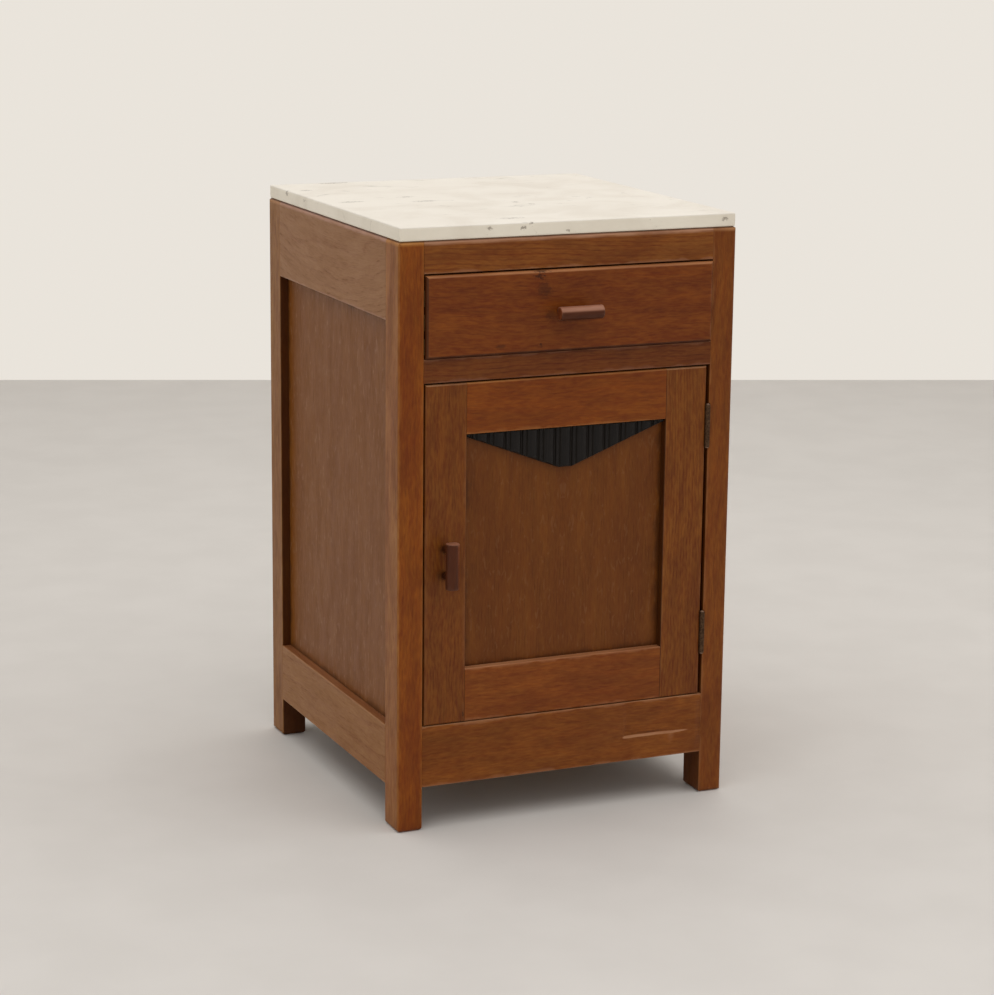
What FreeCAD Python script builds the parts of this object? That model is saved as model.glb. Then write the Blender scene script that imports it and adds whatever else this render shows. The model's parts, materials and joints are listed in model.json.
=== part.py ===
import FreeCAD, Part
import math
import os

os.makedirs("parts", exist_ok=True)

# Nightstand: an oak post-and-rail carcass under a loose marble slab, with one drawer above one door.
# Millimetres, +Z up, +X to the right as seen from the front, front at -Y. The origin is on the floor,
# at the middle of the whole object's footprint.

# Carcass
carcass_width = 432.0
carcass_depth = 448.0
carcass_height = 704.0
leg_width = 31.0
leg_depth = 41.0
leg_outer_round = 4.0
leg_inner_round = 0.8
leg_foot_round = 5.0
leg_top_round = 5.0
rail_edge_round = 0.8
rail_top_round = 5.0

# Mortise and tenon joints of the carcass
tenon_length = 18.0
tenon_thickness = 9.0
tenon_setback = 8.0
tenon_meeting_gap = 6.0
tenon_shoulder = 6.0
tenon_top_shoulder = 15.0
mortise_play = 0.1
mortise_end_play = 1.0

# Panels held loose in grooves
groove_depth = 8.0
groove_land = 2.0
panel_end_play = 1.5
panel_face_play = 0.15

# Side frames
side_rail_thickness = 24.0
side_top_rail_height = 95.0
side_bottom_rail_bottom = 50.0
side_bottom_rail_drop = 5.0
side_panel_recess = 11.0
side_panel_thickness = 7.0

# Front rails
front_rail_thickness = 22.0
front_top_rail_height = 38.0
drawer_opening_height = 98.5
divider_height = 28.0
front_bottom_rail_bottom = 53.5
front_bottom_rail_height = 74.5

# Back frame
back_rail_thickness = 22.0
back_top_rail_height = 70.0
back_bottom_rail_bottom = 50.0
back_bottom_rail_height = 73.0
back_panel_recess = 6.0
back_panel_thickness = 6.0

# Marble slab
marble_thickness = 16.0
marble_setback = 1.0
marble_edge_round = 1.5
marble_under_round = 1.2

# Cupboard floor on two cleats
floor_thickness = 12.0
floor_play = 0.5
cleat_width = 15.0
cleat_height = 18.0
cleat_screw_count = 3
cleat_screw_length = 28.0

# Drawer carriage
runner_height = 20.0
runner_inboard = 20.0
guide_height = 22.0
kicker_height = 22.0
kicker_inboard = 18.0
stop_width = 40.0
stop_depth = 16.0
stop_height = 6.0
stop_side_gap = 24.0
stop_play = 0.3

# Drawer
drawer_proud = 5.0
drawer_front_thickness = 20.0
drawer_edge_round = 3.5
drawer_side_gap = 1.2
drawer_top_gap = 2.0
drawer_bottom_gap = 0.8
drawer_run_play = 0.2
drawer_kick_play = 1.5
drawer_side_thickness = 10.0
drawer_side_drop = 14.3
drawer_rear_gap = 51.0
drawer_back_thickness = 10.0
drawer_back_drop = 4.0
drawer_back_inset = 12.0
housing_depth = 4.0
drawer_bottom_thickness = 5.0
drawer_bottom_rise = 9.0
drawer_groove_depth = 5.0
drawer_groove_play = 0.1
dovetail_count = 3
dovetail_length = 14.0
dovetail_wide = 19.0
dovetail_narrow = 15.0
bottom_screw_count = 3
bottom_screw_length = 16.0

# Bar pulls on two posts, one on the drawer and one on the door
pull_standoff = 15.5
pull_bar_radius = 8.0
pull_bar_flat = 6.5
pull_bar_length = 55.0
pull_end_chamfer = 1.2
pull_post_radius = 4.5
pull_post_spacing = 32.0
pull_screw_bite = 9.0
pull_screw_radius = 1.9
pull_screw_head_radius = 3.6
pull_screw_head_height = 2.2
pull_screw_play = 0.1

# Door
door_setback = 0.5
door_thickness = 22.0
door_lock_gap = 2.2
door_hinge_gap = 3.5
door_top_gap = 2.0
door_bottom_gap = 0.9
door_edge_round = 2.5
door_sight_round = 1.0
lock_stile_width = 52.0
hinge_stile_width = 54.0
door_top_rail_height = 61.0
door_bottom_rail_height = 65.0
door_tenon_length = 30.0
door_tenon_thickness = 8.0
door_panel_recess = 10.5
door_panel_thickness = 7.0
door_pull_drop = 7.0

# Ribbed drop ornament glued to the door panel: broad ribs with a thin bead between each two
rib_pitch = 21.4
rib_width = 14.5
rib_crown = 3.8
bead_width = 4.5
bead_crown = 2.5
ornament_base = 4.0
ornament_end_height = 3.4
ornament_apex_height = 49.0
ornament_apex_width = 18.0
ornament_lower_bevel = 2.0
ornament_upper_bevel = 1.2
ornament_end_play = 0.3

# Door stop under the divider rail
door_stop_width = 40.0
door_stop_depth = 14.0
door_stop_height = 12.0
door_stop_inset = 10.0
door_stop_play = 0.4

# Butt hinges
hinge_length = 51.0
hinge_upper_drop = 73.0
hinge_lower_rise = 78.0
hinge_axis_out = 1.2
knuckle_radius = 3.2
knuckle_play = 0.35
knuckle_end_play = 0.25
leaf_thickness = 1.4
leaf_reach = 15.0
leaf_play = 0.1
hinge_pin_radius = 1.5
hinge_pin_play = 0.05
pin_tip_radius = 2.3
pin_tip_height = 1.5
hinge_screw_pitch = 17.0
hinge_screw_length = 15.0

# Wood screws used on the hinges, cleats, strike plate and drawer bottom
screw_head_radius = 2.9
screw_shank_radius = 1.4
screw_head_depth = 1.5
screw_point_length = 2.5
screw_play = 0.1

# Ball catch in the lock stile's edge
catch_rise = 265.0
catch_flange_radius = 6.0
catch_flange_thickness = 1.0
catch_barrel_radius = 4.5
catch_barrel_length = 13.0
catch_barrel_end = 1.2
catch_fit_play = 0.08
ball_radius = 3.0
ball_strike_gap = 0.4
spring_radius = 2.4
spring_wall = 0.5
spring_end_play = 0.1
strike_width = 12.0
strike_length = 32.0
strike_thickness = 1.0
strike_hole_radius = 2.6
strike_hole_depth = 4.0
strike_screw_pitch = 22.0
strike_screw_length = 10.0

# Places worked out from the sizes above
tolerance = 1e-4
cut_overrun = 1.0
half_width = carcass_width / 2
inner_x = half_width - leg_width
pull_reach = drawer_proud + pull_standoff + pull_bar_flat + pull_bar_radius
front_y = (pull_reach - carcass_depth) / 2
back_y = front_y + carcass_depth
front_leg_back = front_y + leg_depth
rear_leg_front = back_y - leg_depth
drawer_opening_top = carcass_height - front_top_rail_height
divider_top = drawer_opening_top - drawer_opening_height
divider_bottom = divider_top - divider_height
front_bottom_rail_top = front_bottom_rail_bottom + front_bottom_rail_height
side_rail_inner_x = half_width - side_rail_thickness
side_top_rail_bottom = carcass_height - side_top_rail_height
side_bottom_rail_top = front_bottom_rail_top - side_bottom_rail_drop
groove_shoulder = groove_depth + groove_land
side_tenon_length = leg_depth - tenon_setback - tenon_thickness - tenon_meeting_gap
drawer_half = inner_x - drawer_side_gap
side_inner = drawer_half - drawer_side_thickness
SIDES = {"left": -1, "right": 1}


def save(node, shape):
    shape.exportStep("parts/" + node + ".step")


def block(x1, x2, y1, y2, z1, z2):
    """A box between two corners, given in any order."""
    low = FreeCAD.Vector(min(x1, x2), min(y1, y2), min(z1, z2))
    return Part.makeBox(abs(x2 - x1), abs(y2 - y1), abs(z2 - z1), low)


def edges_at(shape, axis, **where):
    """Straight edges along one axis whose middle lies at the given x, y or z."""
    found = []
    for edge in shape.Edges:
        run = edge.Vertexes[-1].Point.sub(edge.Vertexes[0].Point)
        if abs(abs(getattr(run, axis)) - run.Length) > tolerance or run.Length < tolerance:
            continue
        middle = edge.CenterOfMass
        if all(abs(getattr(middle, key) - value) < tolerance for key, value in where.items()):
            found.append(edge)
    return found


def ease(shape, radius, axis, **where):
    """Round the edges along one axis that lie at the given place."""
    return shape.makeFillet(radius, edges_at(shape, axis, **where))


def turned(profile, point, direction):
    """A solid of revolution: profile is (radius, distance) pairs along direction from point."""
    corners = [FreeCAD.Vector(radius, 0, distance) for radius, distance in profile]
    face = Part.Face(Part.makePolygon(corners + corners[:1]))
    solid = face.revolve(FreeCAD.Vector(0, 0, 0), FreeCAD.Vector(0, 0, 1), 360)
    turn = FreeCAD.Rotation(FreeCAD.Vector(0, 0, 1), FreeCAD.Vector(*direction))
    solid.Placement = FreeCAD.Placement(FreeCAD.Vector(*point), turn)
    return solid


def rod(radius, point, direction, length):
    return Part.makeCylinder(radius, length, FreeCAD.Vector(*point), FreeCAD.Vector(*direction))


def wood_screw(point, direction, length):
    """A countersunk wood screw with its head flush at point."""
    profile = [
        (0, 0),
        (screw_head_radius, 0),
        (screw_shank_radius, screw_head_depth),
        (screw_shank_radius, length - screw_point_length),
        (0, length),
    ]
    return turned(profile, point, direction)


def wood_screw_hole(point, direction, length):
    """The countersunk hole for the same screw, open past the surface."""
    profile = [
        (0, -cut_overrun),
        (screw_head_radius + screw_play, -cut_overrun),
        (screw_head_radius + screw_play, 0),
        (screw_shank_radius + screw_play, screw_head_depth),
        (screw_shank_radius + screw_play, length),
        (0, length),
    ]
    return turned(profile, point, direction)


# Cuts that each leg collects from the pieces that are let into it
leg_cuts = {"front_left_leg": [], "front_right_leg": [], "rear_left_leg": [], "rear_right_leg": []}


def leg(side, y_outer, y_inner):
    """A square post with eased arrises, rounded round the foot and along its outer top edges."""
    x_outer, x_inner = side * half_width, side * inner_x
    faces = (x_outer, x_inner, y_outer, y_inner, 0, carcass_height)
    upright = block(*faces)
    upright = ease(upright, leg_outer_round, "z", x=x_outer, y=y_outer)
    for x, y in ((x_outer, y_inner), (x_inner, y_outer), (x_inner, y_inner)):
        upright = ease(upright, leg_inner_round, "z", x=x, y=y)
    across = ease(block(*faces), leg_foot_round, "x", z=0)
    across = ease(across, leg_top_round, "x", y=y_outer, z=carcass_height)
    along = ease(block(*faces), leg_foot_round, "y", z=0)
    along = ease(along, leg_top_round, "y", x=x_outer, z=carcass_height)
    return upright.common(across).common(along)


def upper_round(z_high):
    """The rounding of a rail's upper edge, larger where the marble lies on it."""
    return rail_top_round if z_high == carcass_height else rail_edge_round


def cross_rail(row, y_face, inward, thickness, z_low, z_high, tenon_low, tenon_high):
    """A rail between the two legs of the front or rear row, with a tenon let into each leg."""
    rail = block(-inner_x, inner_x, y_face, y_face + inward * thickness, z_low, z_high)
    rail = ease(rail, rail_edge_round, "x", y=y_face, z=z_low)
    rail = ease(rail, upper_round(z_high), "x", y=y_face, z=z_high)
    cheek_out = y_face + inward * tenon_setback
    cheek_in = cheek_out + inward * tenon_thickness
    for name, side in SIDES.items():
        end_x = side * (inner_x + tenon_length)
        rail = rail.fuse(block(side * inner_x, end_x, cheek_out, cheek_in, tenon_low, tenon_high))
        mortise = block(
            side * inner_x,
            end_x + side * mortise_end_play,
            cheek_out - inward * mortise_play,
            cheek_in + inward * mortise_play,
            tenon_low - mortise_play,
            tenon_high + mortise_play,
        )
        leg_cuts[row + "_" + name + "_leg"].append(mortise)
    return rail


def side_rail(name, z_low, z_high, tenon_low, tenon_high):
    """A rail between the front and rear leg of one side, with a tenon let into each leg."""
    side = SIDES[name]
    x_face = side * half_width
    rail = block(x_face, side * side_rail_inner_x, front_leg_back, rear_leg_front, z_low, z_high)
    rail = ease(rail, rail_edge_round, "y", x=x_face, z=z_low)
    rail = ease(rail, upper_round(z_high), "y", x=x_face, z=z_high)
    cheek_out = side * (half_width - tenon_setback)
    cheek_in = side * (half_width - tenon_setback - tenon_thickness)
    for row, shoulder, outward in (("front", front_leg_back, -1), ("rear", rear_leg_front, 1)):
        end_y = shoulder + outward * side_tenon_length
        rail = rail.fuse(block(cheek_out, cheek_in, shoulder, end_y, tenon_low, tenon_high))
        mortise = block(
            cheek_out + side * mortise_play,
            cheek_in - side * mortise_play,
            shoulder,
            end_y + outward * mortise_end_play,
            tenon_low - mortise_play,
            tenon_high + mortise_play,
        )
        leg_cuts[row + "_" + name + "_leg"].append(mortise)
    return rail


# Side frames: two rails per side with a flat panel loose in their grooves
panel_bite = groove_depth - panel_end_play
side_rails = {}
for name, side in SIDES.items():
    face_x = side * (half_width - side_panel_recess)
    back_x = side * (half_width - side_panel_recess - side_panel_thickness)
    groove_out = face_x + side * panel_face_play
    groove_in = back_x - side * panel_face_play
    panel_low = side_bottom_rail_top - panel_bite
    panel_high = side_top_rail_bottom + panel_bite
    panel_front = front_leg_back - panel_bite
    panel_rear = rear_leg_front + panel_bite
    panel = block(face_x, back_x, panel_front, panel_rear, panel_low, panel_high)
    save(name + "_side_panel", panel)

    top = side_rail(
        name,
        side_top_rail_bottom,
        carcass_height,
        side_top_rail_bottom + groove_shoulder,
        carcass_height - tenon_top_shoulder,
    )
    top_groove = block(
        groove_out,
        groove_in,
        front_leg_back,
        rear_leg_front,
        side_top_rail_bottom - cut_overrun,
        side_top_rail_bottom + groove_depth,
    )
    save(name + "_top_rail", top.cut(top_groove))

    bottom = side_rail(
        name,
        side_bottom_rail_bottom,
        side_bottom_rail_top,
        side_bottom_rail_bottom + tenon_shoulder,
        side_bottom_rail_top - groove_shoulder,
    )
    bottom_groove = block(
        groove_out,
        groove_in,
        front_leg_back,
        rear_leg_front,
        side_bottom_rail_top - groove_depth,
        side_bottom_rail_top + cut_overrun,
    )
    side_rails[name + "_bottom_rail"] = bottom.cut(bottom_groove)

    for row, shoulder, outward in (("front", front_leg_back, -1), ("rear", rear_leg_front, 1)):
        leg_groove = block(
            groove_out,
            groove_in,
            shoulder - outward * cut_overrun,
            shoulder + outward * groove_depth,
            side_bottom_rail_top - groove_depth,
            side_top_rail_bottom + groove_depth,
        )
        leg_cuts[row + "_" + name + "_leg"].append(leg_groove)

# Front rails: above the drawer, between drawer and door, and below the door
front_top_rail = cross_rail(
    "front",
    front_y,
    1,
    front_rail_thickness,
    drawer_opening_top,
    carcass_height,
    drawer_opening_top + tenon_shoulder,
    carcass_height - tenon_top_shoulder,
)
save("front_top_rail", front_top_rail)
divider = cross_rail(
    "front",
    front_y,
    1,
    leg_depth,
    divider_bottom,
    divider_top,
    divider_bottom + tenon_shoulder,
    divider_top - tenon_shoulder,
)
save("drawer_divider_rail", divider)
front_bottom_rail = cross_rail(
    "front",
    front_y,
    1,
    front_rail_thickness,
    front_bottom_rail_bottom,
    front_bottom_rail_top,
    front_bottom_rail_bottom + tenon_shoulder,
    front_bottom_rail_top - tenon_shoulder,
)
save("front_bottom_rail", front_bottom_rail)

# Back frame: two rails and a thin panel loose in their grooves
back_top_rail_bottom = carcass_height - back_top_rail_height
back_bottom_rail_top = back_bottom_rail_bottom + back_bottom_rail_height
back_face = back_y - back_panel_recess
back_inner = back_face - back_panel_thickness
back_groove_out = back_face + panel_face_play
back_groove_in = back_inner - panel_face_play
back_top = cross_rail(
    "rear",
    back_y,
    -1,
    back_rail_thickness,
    back_top_rail_bottom,
    carcass_height,
    back_top_rail_bottom + groove_shoulder,
    carcass_height - tenon_top_shoulder,
)
back_top_groove = block(
    -inner_x,
    inner_x,
    back_groove_in,
    back_groove_out,
    back_top_rail_bottom - cut_overrun,
    back_top_rail_bottom + groove_depth,
)
save("back_top_rail", back_top.cut(back_top_groove))
back_bottom = cross_rail(
    "rear",
    back_y,
    -1,
    back_rail_thickness,
    back_bottom_rail_bottom,
    back_bottom_rail_top,
    back_bottom_rail_bottom + tenon_shoulder,
    back_bottom_rail_top - groove_shoulder,
)
back_bottom_groove = block(
    -inner_x,
    inner_x,
    back_groove_in,
    back_groove_out,
    back_bottom_rail_top - groove_depth,
    back_bottom_rail_top + cut_overrun,
)
save("back_bottom_rail", back_bottom.cut(back_bottom_groove))
back_panel = block(
    -inner_x - panel_bite,
    inner_x + panel_bite,
    back_inner,
    back_face,
    back_bottom_rail_top - panel_bite,
    back_top_rail_bottom + panel_bite,
)
save("back_panel", back_panel)
for name, side in SIDES.items():
    rear_groove = block(
        side * (inner_x - cut_overrun),
        side * (inner_x + groove_depth),
        back_groove_in,
        back_groove_out,
        back_bottom_rail_top - groove_depth,
        back_top_rail_bottom + groove_depth,
    )
    leg_cuts["rear_" + name + "_leg"].append(rear_groove)

# Marble slab, lying loose on the carcass with its edges eased
marble_top_z = carcass_height + marble_thickness
marble_x = half_width - marble_setback
marble_front = front_y + marble_setback
marble_back = back_y - marble_setback
slab = block(-marble_x, marble_x, marble_front, marble_back, carcass_height, marble_top_z)
corners = slab.makeFillet(marble_edge_round, edges_at(slab, "z"))
across_edges = ease(slab, marble_edge_round, "x", z=marble_top_z)
across_edges = ease(across_edges, marble_under_round, "x", z=carcass_height)
along_edges = ease(slab, marble_edge_round, "y", z=marble_top_z)
along_edges = ease(along_edges, marble_under_round, "y", z=carcass_height)
save("marble_top", corners.common(across_edges).common(along_edges))

# Cupboard floor, level with the front bottom rail, on a cleat along each side rail
floor_top = front_bottom_rail_top
floor_bottom = floor_top - floor_thickness
floor_x = side_rail_inner_x - floor_play
rail_back = front_y + front_rail_thickness
back_rail_front = back_y - back_rail_thickness
cupboard_floor = block(-floor_x, floor_x, rail_back, back_rail_front, floor_bottom, floor_top)
notches = []
for side in SIDES.values():
    for leg_face, outward in ((front_leg_back, -1), (rear_leg_front, 1)):
        notch = block(
            side * (inner_x - floor_play),
            side * half_width,
            leg_face - outward * floor_play,
            leg_face + outward * leg_depth,
            floor_bottom,
            floor_top,
        )
        notches.append(notch)
save("cupboard_floor", cupboard_floor.cut(notches))

cleat_run = rear_leg_front - front_leg_back
cleat_middle_z = floor_bottom - cleat_height / 2
cleat_screws = []
for name, side in SIDES.items():
    cleat_inner = side * (side_rail_inner_x - cleat_width)
    cleat = block(
        side * side_rail_inner_x,
        cleat_inner,
        front_leg_back,
        rear_leg_front,
        floor_bottom - cleat_height,
        floor_bottom,
    )
    holes = []
    for index in range(cleat_screw_count):
        screw_y = front_leg_back + cleat_run * (index + 0.5) / cleat_screw_count
        place = ((cleat_inner, screw_y, cleat_middle_z), (side, 0, 0), cleat_screw_length)
        cleat_screws.append(wood_screw(*place))
        holes.append(wood_screw_hole(*place))
    save(name + "_floor_cleat", cleat.cut(holes))
    side_rails[name + "_bottom_rail"] = side_rails[name + "_bottom_rail"].cut(holes)
save("floor_cleat_screws", Part.makeCompound(cleat_screws))
for node, rail in side_rails.items():
    save(node, rail)

# Drawer carriage: a runner under each drawer side, a guide beside it and a kicker above it
drawer_low = divider_top + drawer_run_play
drawer_side_top = drawer_opening_top - drawer_side_drop
drawer_side_height = drawer_side_top - drawer_low
kicker_bottom = drawer_side_top + drawer_kick_play
panel_inner_x = half_width - side_panel_recess - side_panel_thickness
for name, side in SIDES.items():
    runner = block(
        side * (inner_x - runner_inboard),
        side * panel_inner_x,
        front_leg_back,
        rear_leg_front,
        divider_top - runner_height,
        divider_top,
    )
    save(name + "_drawer_runner", runner)
    guide = block(
        side * inner_x,
        side * panel_inner_x,
        front_leg_back,
        rear_leg_front,
        divider_top,
        divider_top + guide_height,
    )
    save(name + "_drawer_guide", guide)
    kicker = block(
        side * (inner_x - kicker_inboard),
        side * side_rail_inner_x,
        front_leg_back,
        rear_leg_front,
        kicker_bottom,
        kicker_bottom + kicker_height,
    )
    save(name + "_drawer_kicker", kicker)

drawer_back_of_front = front_y - drawer_proud + drawer_front_thickness
stops = []
for side in SIDES.values():
    stop_front = drawer_back_of_front + stop_play
    stop_outer = side_inner - stop_side_gap
    stop = block(
        side * (stop_outer - stop_width),
        side * stop_outer,
        stop_front,
        stop_front + stop_depth,
        divider_top,
        divider_top + stop_height,
    )
    stops.append(stop)
save("drawer_stops", Part.makeCompound(stops))


def pull(face_point, long_axis, screw_depth):
    """A round bar, flat along its back, on two posts against a face that looks to -Y."""
    x, y, z = face_point
    along_x, along_z = (1, 0) if long_axis == "x" else (0, 1)
    half_length = pull_bar_length / 2
    bar_back = y - pull_standoff
    bar_start = (x - along_x * half_length, bar_back - pull_bar_flat, z - along_z * half_length)
    plain = rod(pull_bar_radius, bar_start, (along_x, 0, along_z), pull_bar_length)
    rims = [edge for edge in plain.Edges if isinstance(edge.Curve, Part.Circle)]
    behind = block(
        x - half_length,
        x + half_length,
        bar_back,
        bar_back + pull_bar_radius,
        z - half_length,
        z + half_length,
    )
    bar = plain.makeChamfer(pull_end_chamfer, rims).cut(behind)
    posts, screws, holes = [], [], []
    shank_length = screw_depth + pull_standoff + pull_screw_bite
    for end in (-1, 1):
        shift = end * pull_post_spacing / 2
        foot = (x + along_x * shift, y, z + along_z * shift)
        head = (foot[0], y + screw_depth, foot[2])
        post = rod(pull_post_radius, foot, (0, -1, 0), pull_standoff)
        hole = rod(pull_screw_radius + pull_screw_play, head, (0, -1, 0), shank_length + pull_screw_play)
        profile = [
            (0, -pull_screw_head_height),
            (pull_screw_head_radius / 2, -pull_screw_head_height),
            (pull_screw_head_radius, 0),
            (pull_screw_radius, 0),
            (pull_screw_radius, shank_length),
            (0, shank_length),
        ]
        posts.append(post.cut(hole))
        screws.append(turned(profile, head, (0, -1, 0)))
        holes.append(hole)
    return bar.cut(holes), posts, screws, holes


# Drawer: a solid front, dovetailed sides, a housed back and a bottom slid into grooves
drawer_face = front_y - drawer_proud
drawer_front_low = divider_top + drawer_bottom_gap
drawer_front_high = drawer_opening_top - drawer_top_gap
side_end = back_rail_front - drawer_rear_gap
bottom_low = drawer_low + drawer_bottom_rise
bottom_high = bottom_low + drawer_bottom_thickness
back_rear = side_end - drawer_back_inset
back_front = back_rear - drawer_back_thickness
groove_low = bottom_low - drawer_groove_play
groove_high = bottom_high + drawer_groove_play


def dovetails(side):
    """The tails at the front end of one drawer side."""
    tails = []
    pitch = drawer_side_height / dovetail_count
    for index in range(dovetail_count):
        middle = drawer_low + pitch * (index + 0.5)
        tip_y = drawer_back_of_front - dovetail_length
        corners = [
            FreeCAD.Vector(side * side_inner, drawer_back_of_front, middle - dovetail_narrow / 2),
            FreeCAD.Vector(side * side_inner, tip_y, middle - dovetail_wide / 2),
            FreeCAD.Vector(side * side_inner, tip_y, middle + dovetail_wide / 2),
            FreeCAD.Vector(side * side_inner, drawer_back_of_front, middle + dovetail_narrow / 2),
        ]
        face = Part.Face(Part.makePolygon(corners + corners[:1]))
        tails.append(face.extrude(FreeCAD.Vector(side * drawer_side_thickness, 0, 0)))
    return tails


drawer_front_faces = (
    -drawer_half,
    drawer_half,
    drawer_face,
    drawer_back_of_front,
    drawer_front_low,
    drawer_front_high,
)
drawer_front = block(*drawer_front_faces)
long_edges = ease(drawer_front, drawer_edge_round, "x", y=drawer_face)
end_edges = ease(drawer_front, drawer_edge_round, "z", y=drawer_face)
drawer_front = long_edges.common(end_edges)
front_groove = block(
    -side_inner - drawer_groove_depth,
    side_inner + drawer_groove_depth,
    drawer_back_of_front - drawer_groove_depth,
    drawer_back_of_front + cut_overrun,
    groove_low,
    groove_high,
)
drawer_front = drawer_front.cut(front_groove)

for name, side in SIDES.items():
    board = block(
        side * side_inner,
        side * drawer_half,
        drawer_back_of_front,
        side_end,
        drawer_low,
        drawer_side_top,
    )
    tails = dovetails(side)
    housing = block(
        side * (side_inner - cut_overrun),
        side * (side_inner + housing_depth),
        back_front,
        back_rear,
        bottom_high,
        drawer_side_top - drawer_back_drop,
    )
    groove = block(
        side * (side_inner - cut_overrun),
        side * (side_inner + drawer_groove_depth),
        drawer_back_of_front - dovetail_length,
        side_end + cut_overrun,
        groove_low,
        groove_high,
    )
    save("drawer_" + name + "_side", board.fuse(tails).cut([housing, groove]))
    drawer_front = drawer_front.cut(tails)

drawer_back = block(
    -side_inner - housing_depth,
    side_inner + housing_depth,
    back_front,
    back_rear,
    bottom_high,
    drawer_side_top - drawer_back_drop,
)
bottom_bite = drawer_groove_depth - drawer_groove_play
drawer_bottom = block(
    -side_inner - bottom_bite,
    side_inner + bottom_bite,
    drawer_back_of_front - bottom_bite,
    back_rear,
    bottom_low,
    bottom_high,
)
bottom_screws = []
bottom_holes = []
for index in range(bottom_screw_count):
    screw_x = side_inner * (2 * (index + 0.5) / bottom_screw_count - 1)
    place = ((screw_x, (back_front + back_rear) / 2, bottom_low), (0, 0, 1), bottom_screw_length)
    bottom_screws.append(wood_screw(*place))
    bottom_holes.append(wood_screw_hole(*place))
save("drawer_back", drawer_back.cut(bottom_holes))
save("drawer_bottom", drawer_bottom.cut(bottom_holes))
save("drawer_bottom_screws", Part.makeCompound(bottom_screws))

drawer_pull_point = (0, drawer_face, (drawer_front_low + drawer_front_high) / 2)
bar, posts, screws, holes = pull(drawer_pull_point, "x", drawer_front_thickness)
save("drawer_front", drawer_front.cut(holes))
save("drawer_pull_bar", bar)
save("drawer_pull_posts", Part.makeCompound(posts))
save("drawer_pull_screws", Part.makeCompound(screws))

# Door: stiles and rails with a flat panel in grooves, and what is fixed to them
door_face = front_y + door_setback
door_back = door_face + door_thickness
door_left = -inner_x + door_lock_gap
door_right = inner_x - door_hinge_gap
door_bottom = front_bottom_rail_top + door_bottom_gap
door_top = divider_bottom - door_top_gap
sight_left = door_left + lock_stile_width
sight_right = door_right - hinge_stile_width
sight_bottom = door_bottom + door_bottom_rail_height
sight_top = door_top - door_top_rail_height
panel_face_y = door_face + door_panel_recess
panel_back_y = panel_face_y + door_panel_thickness
panel_groove_front = panel_face_y - panel_face_play
panel_groove_back = panel_back_y + panel_face_play
door_tenon_front = door_face + (door_thickness - door_tenon_thickness) / 2
door_tenon_back = door_tenon_front + door_tenon_thickness
hinge_x = inner_x - door_hinge_gap / 2
hinge_y = door_face - hinge_axis_out


def door_rail(z_low, z_high, z_outer, z_sight):
    """One rail of the door with its tenons, and the mortises that they need in the stiles."""
    rail = block(sight_left, sight_right, door_face, door_back, z_low, z_high)
    rail = ease(rail, door_edge_round, "x", y=door_face, z=z_outer)
    rail = ease(rail, door_sight_round, "x", y=door_face, z=z_sight)
    inward = 1 if z_outer > z_sight else -1
    tenon_sight = z_sight + inward * groove_shoulder
    tenon_outer = z_outer - inward * tenon_shoulder
    mortises = []
    for shoulder, outward in ((sight_left, -1), (sight_right, 1)):
        end_x = shoulder + outward * door_tenon_length
        tenon = block(shoulder, end_x, door_tenon_front, door_tenon_back, tenon_sight, tenon_outer)
        rail = rail.fuse(tenon)
        mortise = block(
            shoulder - outward * cut_overrun,
            end_x + outward * mortise_end_play,
            door_tenon_front - mortise_play,
            door_tenon_back + mortise_play,
            tenon_sight - inward * mortise_play,
            tenon_outer + inward * mortise_play,
        )
        mortises.append(mortise)
    groove = block(
        sight_left,
        sight_right,
        panel_groove_front,
        panel_groove_back,
        z_sight - inward * cut_overrun,
        z_sight + inward * groove_depth,
    )
    return rail.cut(groove), mortises


def door_stile(x_outer, x_sight, outward):
    """One upright of the door, with the panel's groove in its inner edge."""
    stile = block(x_outer, x_sight, door_face, door_back, door_bottom, door_top)
    side_eased = ease(stile, door_edge_round, "z", x=x_outer, y=door_face)
    side_eased = ease(side_eased, door_sight_round, "z", x=x_sight, y=door_face)
    end_eased = ease(stile, door_edge_round, "x", y=door_face)
    groove = block(
        x_sight - outward * cut_overrun,
        x_sight + outward * groove_depth,
        panel_groove_front,
        panel_groove_back,
        sight_bottom - groove_depth,
        sight_top + groove_depth,
    )
    return side_eased.common(end_eased).cut(groove)


door_top_rail, top_mortises = door_rail(sight_top, door_top, door_top, sight_top)
door_bottom_rail, bottom_mortises = door_rail(door_bottom, sight_bottom, door_bottom, sight_bottom)
lock_stile = door_stile(door_left, sight_left, -1).cut(top_mortises + bottom_mortises)
hinge_stile = door_stile(door_right, sight_right, 1).cut(top_mortises + bottom_mortises)
door_panel = block(
    sight_left - panel_bite,
    sight_right + panel_bite,
    panel_face_y,
    panel_back_y,
    sight_bottom - panel_bite,
    sight_top + panel_bite,
)
save("door_top_rail", door_top_rail)
save("door_bottom_rail", door_bottom_rail)
save("door_panel", door_panel)

# Ornament: upright ribs and beads on a flat board, cut to a shallow point that hangs from the top rail
ornament_left = sight_left + ornament_end_play
ornament_right = sight_right - ornament_end_play
ornament_top = sight_top - ornament_end_play
ornament_low = ornament_top - ornament_apex_height
ornament_end_low = ornament_top - ornament_end_height
apex_x = (ornament_left + ornament_right) / 2
valley_y = panel_face_y - ornament_base
crest_y = valley_y - rib_crown


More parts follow.
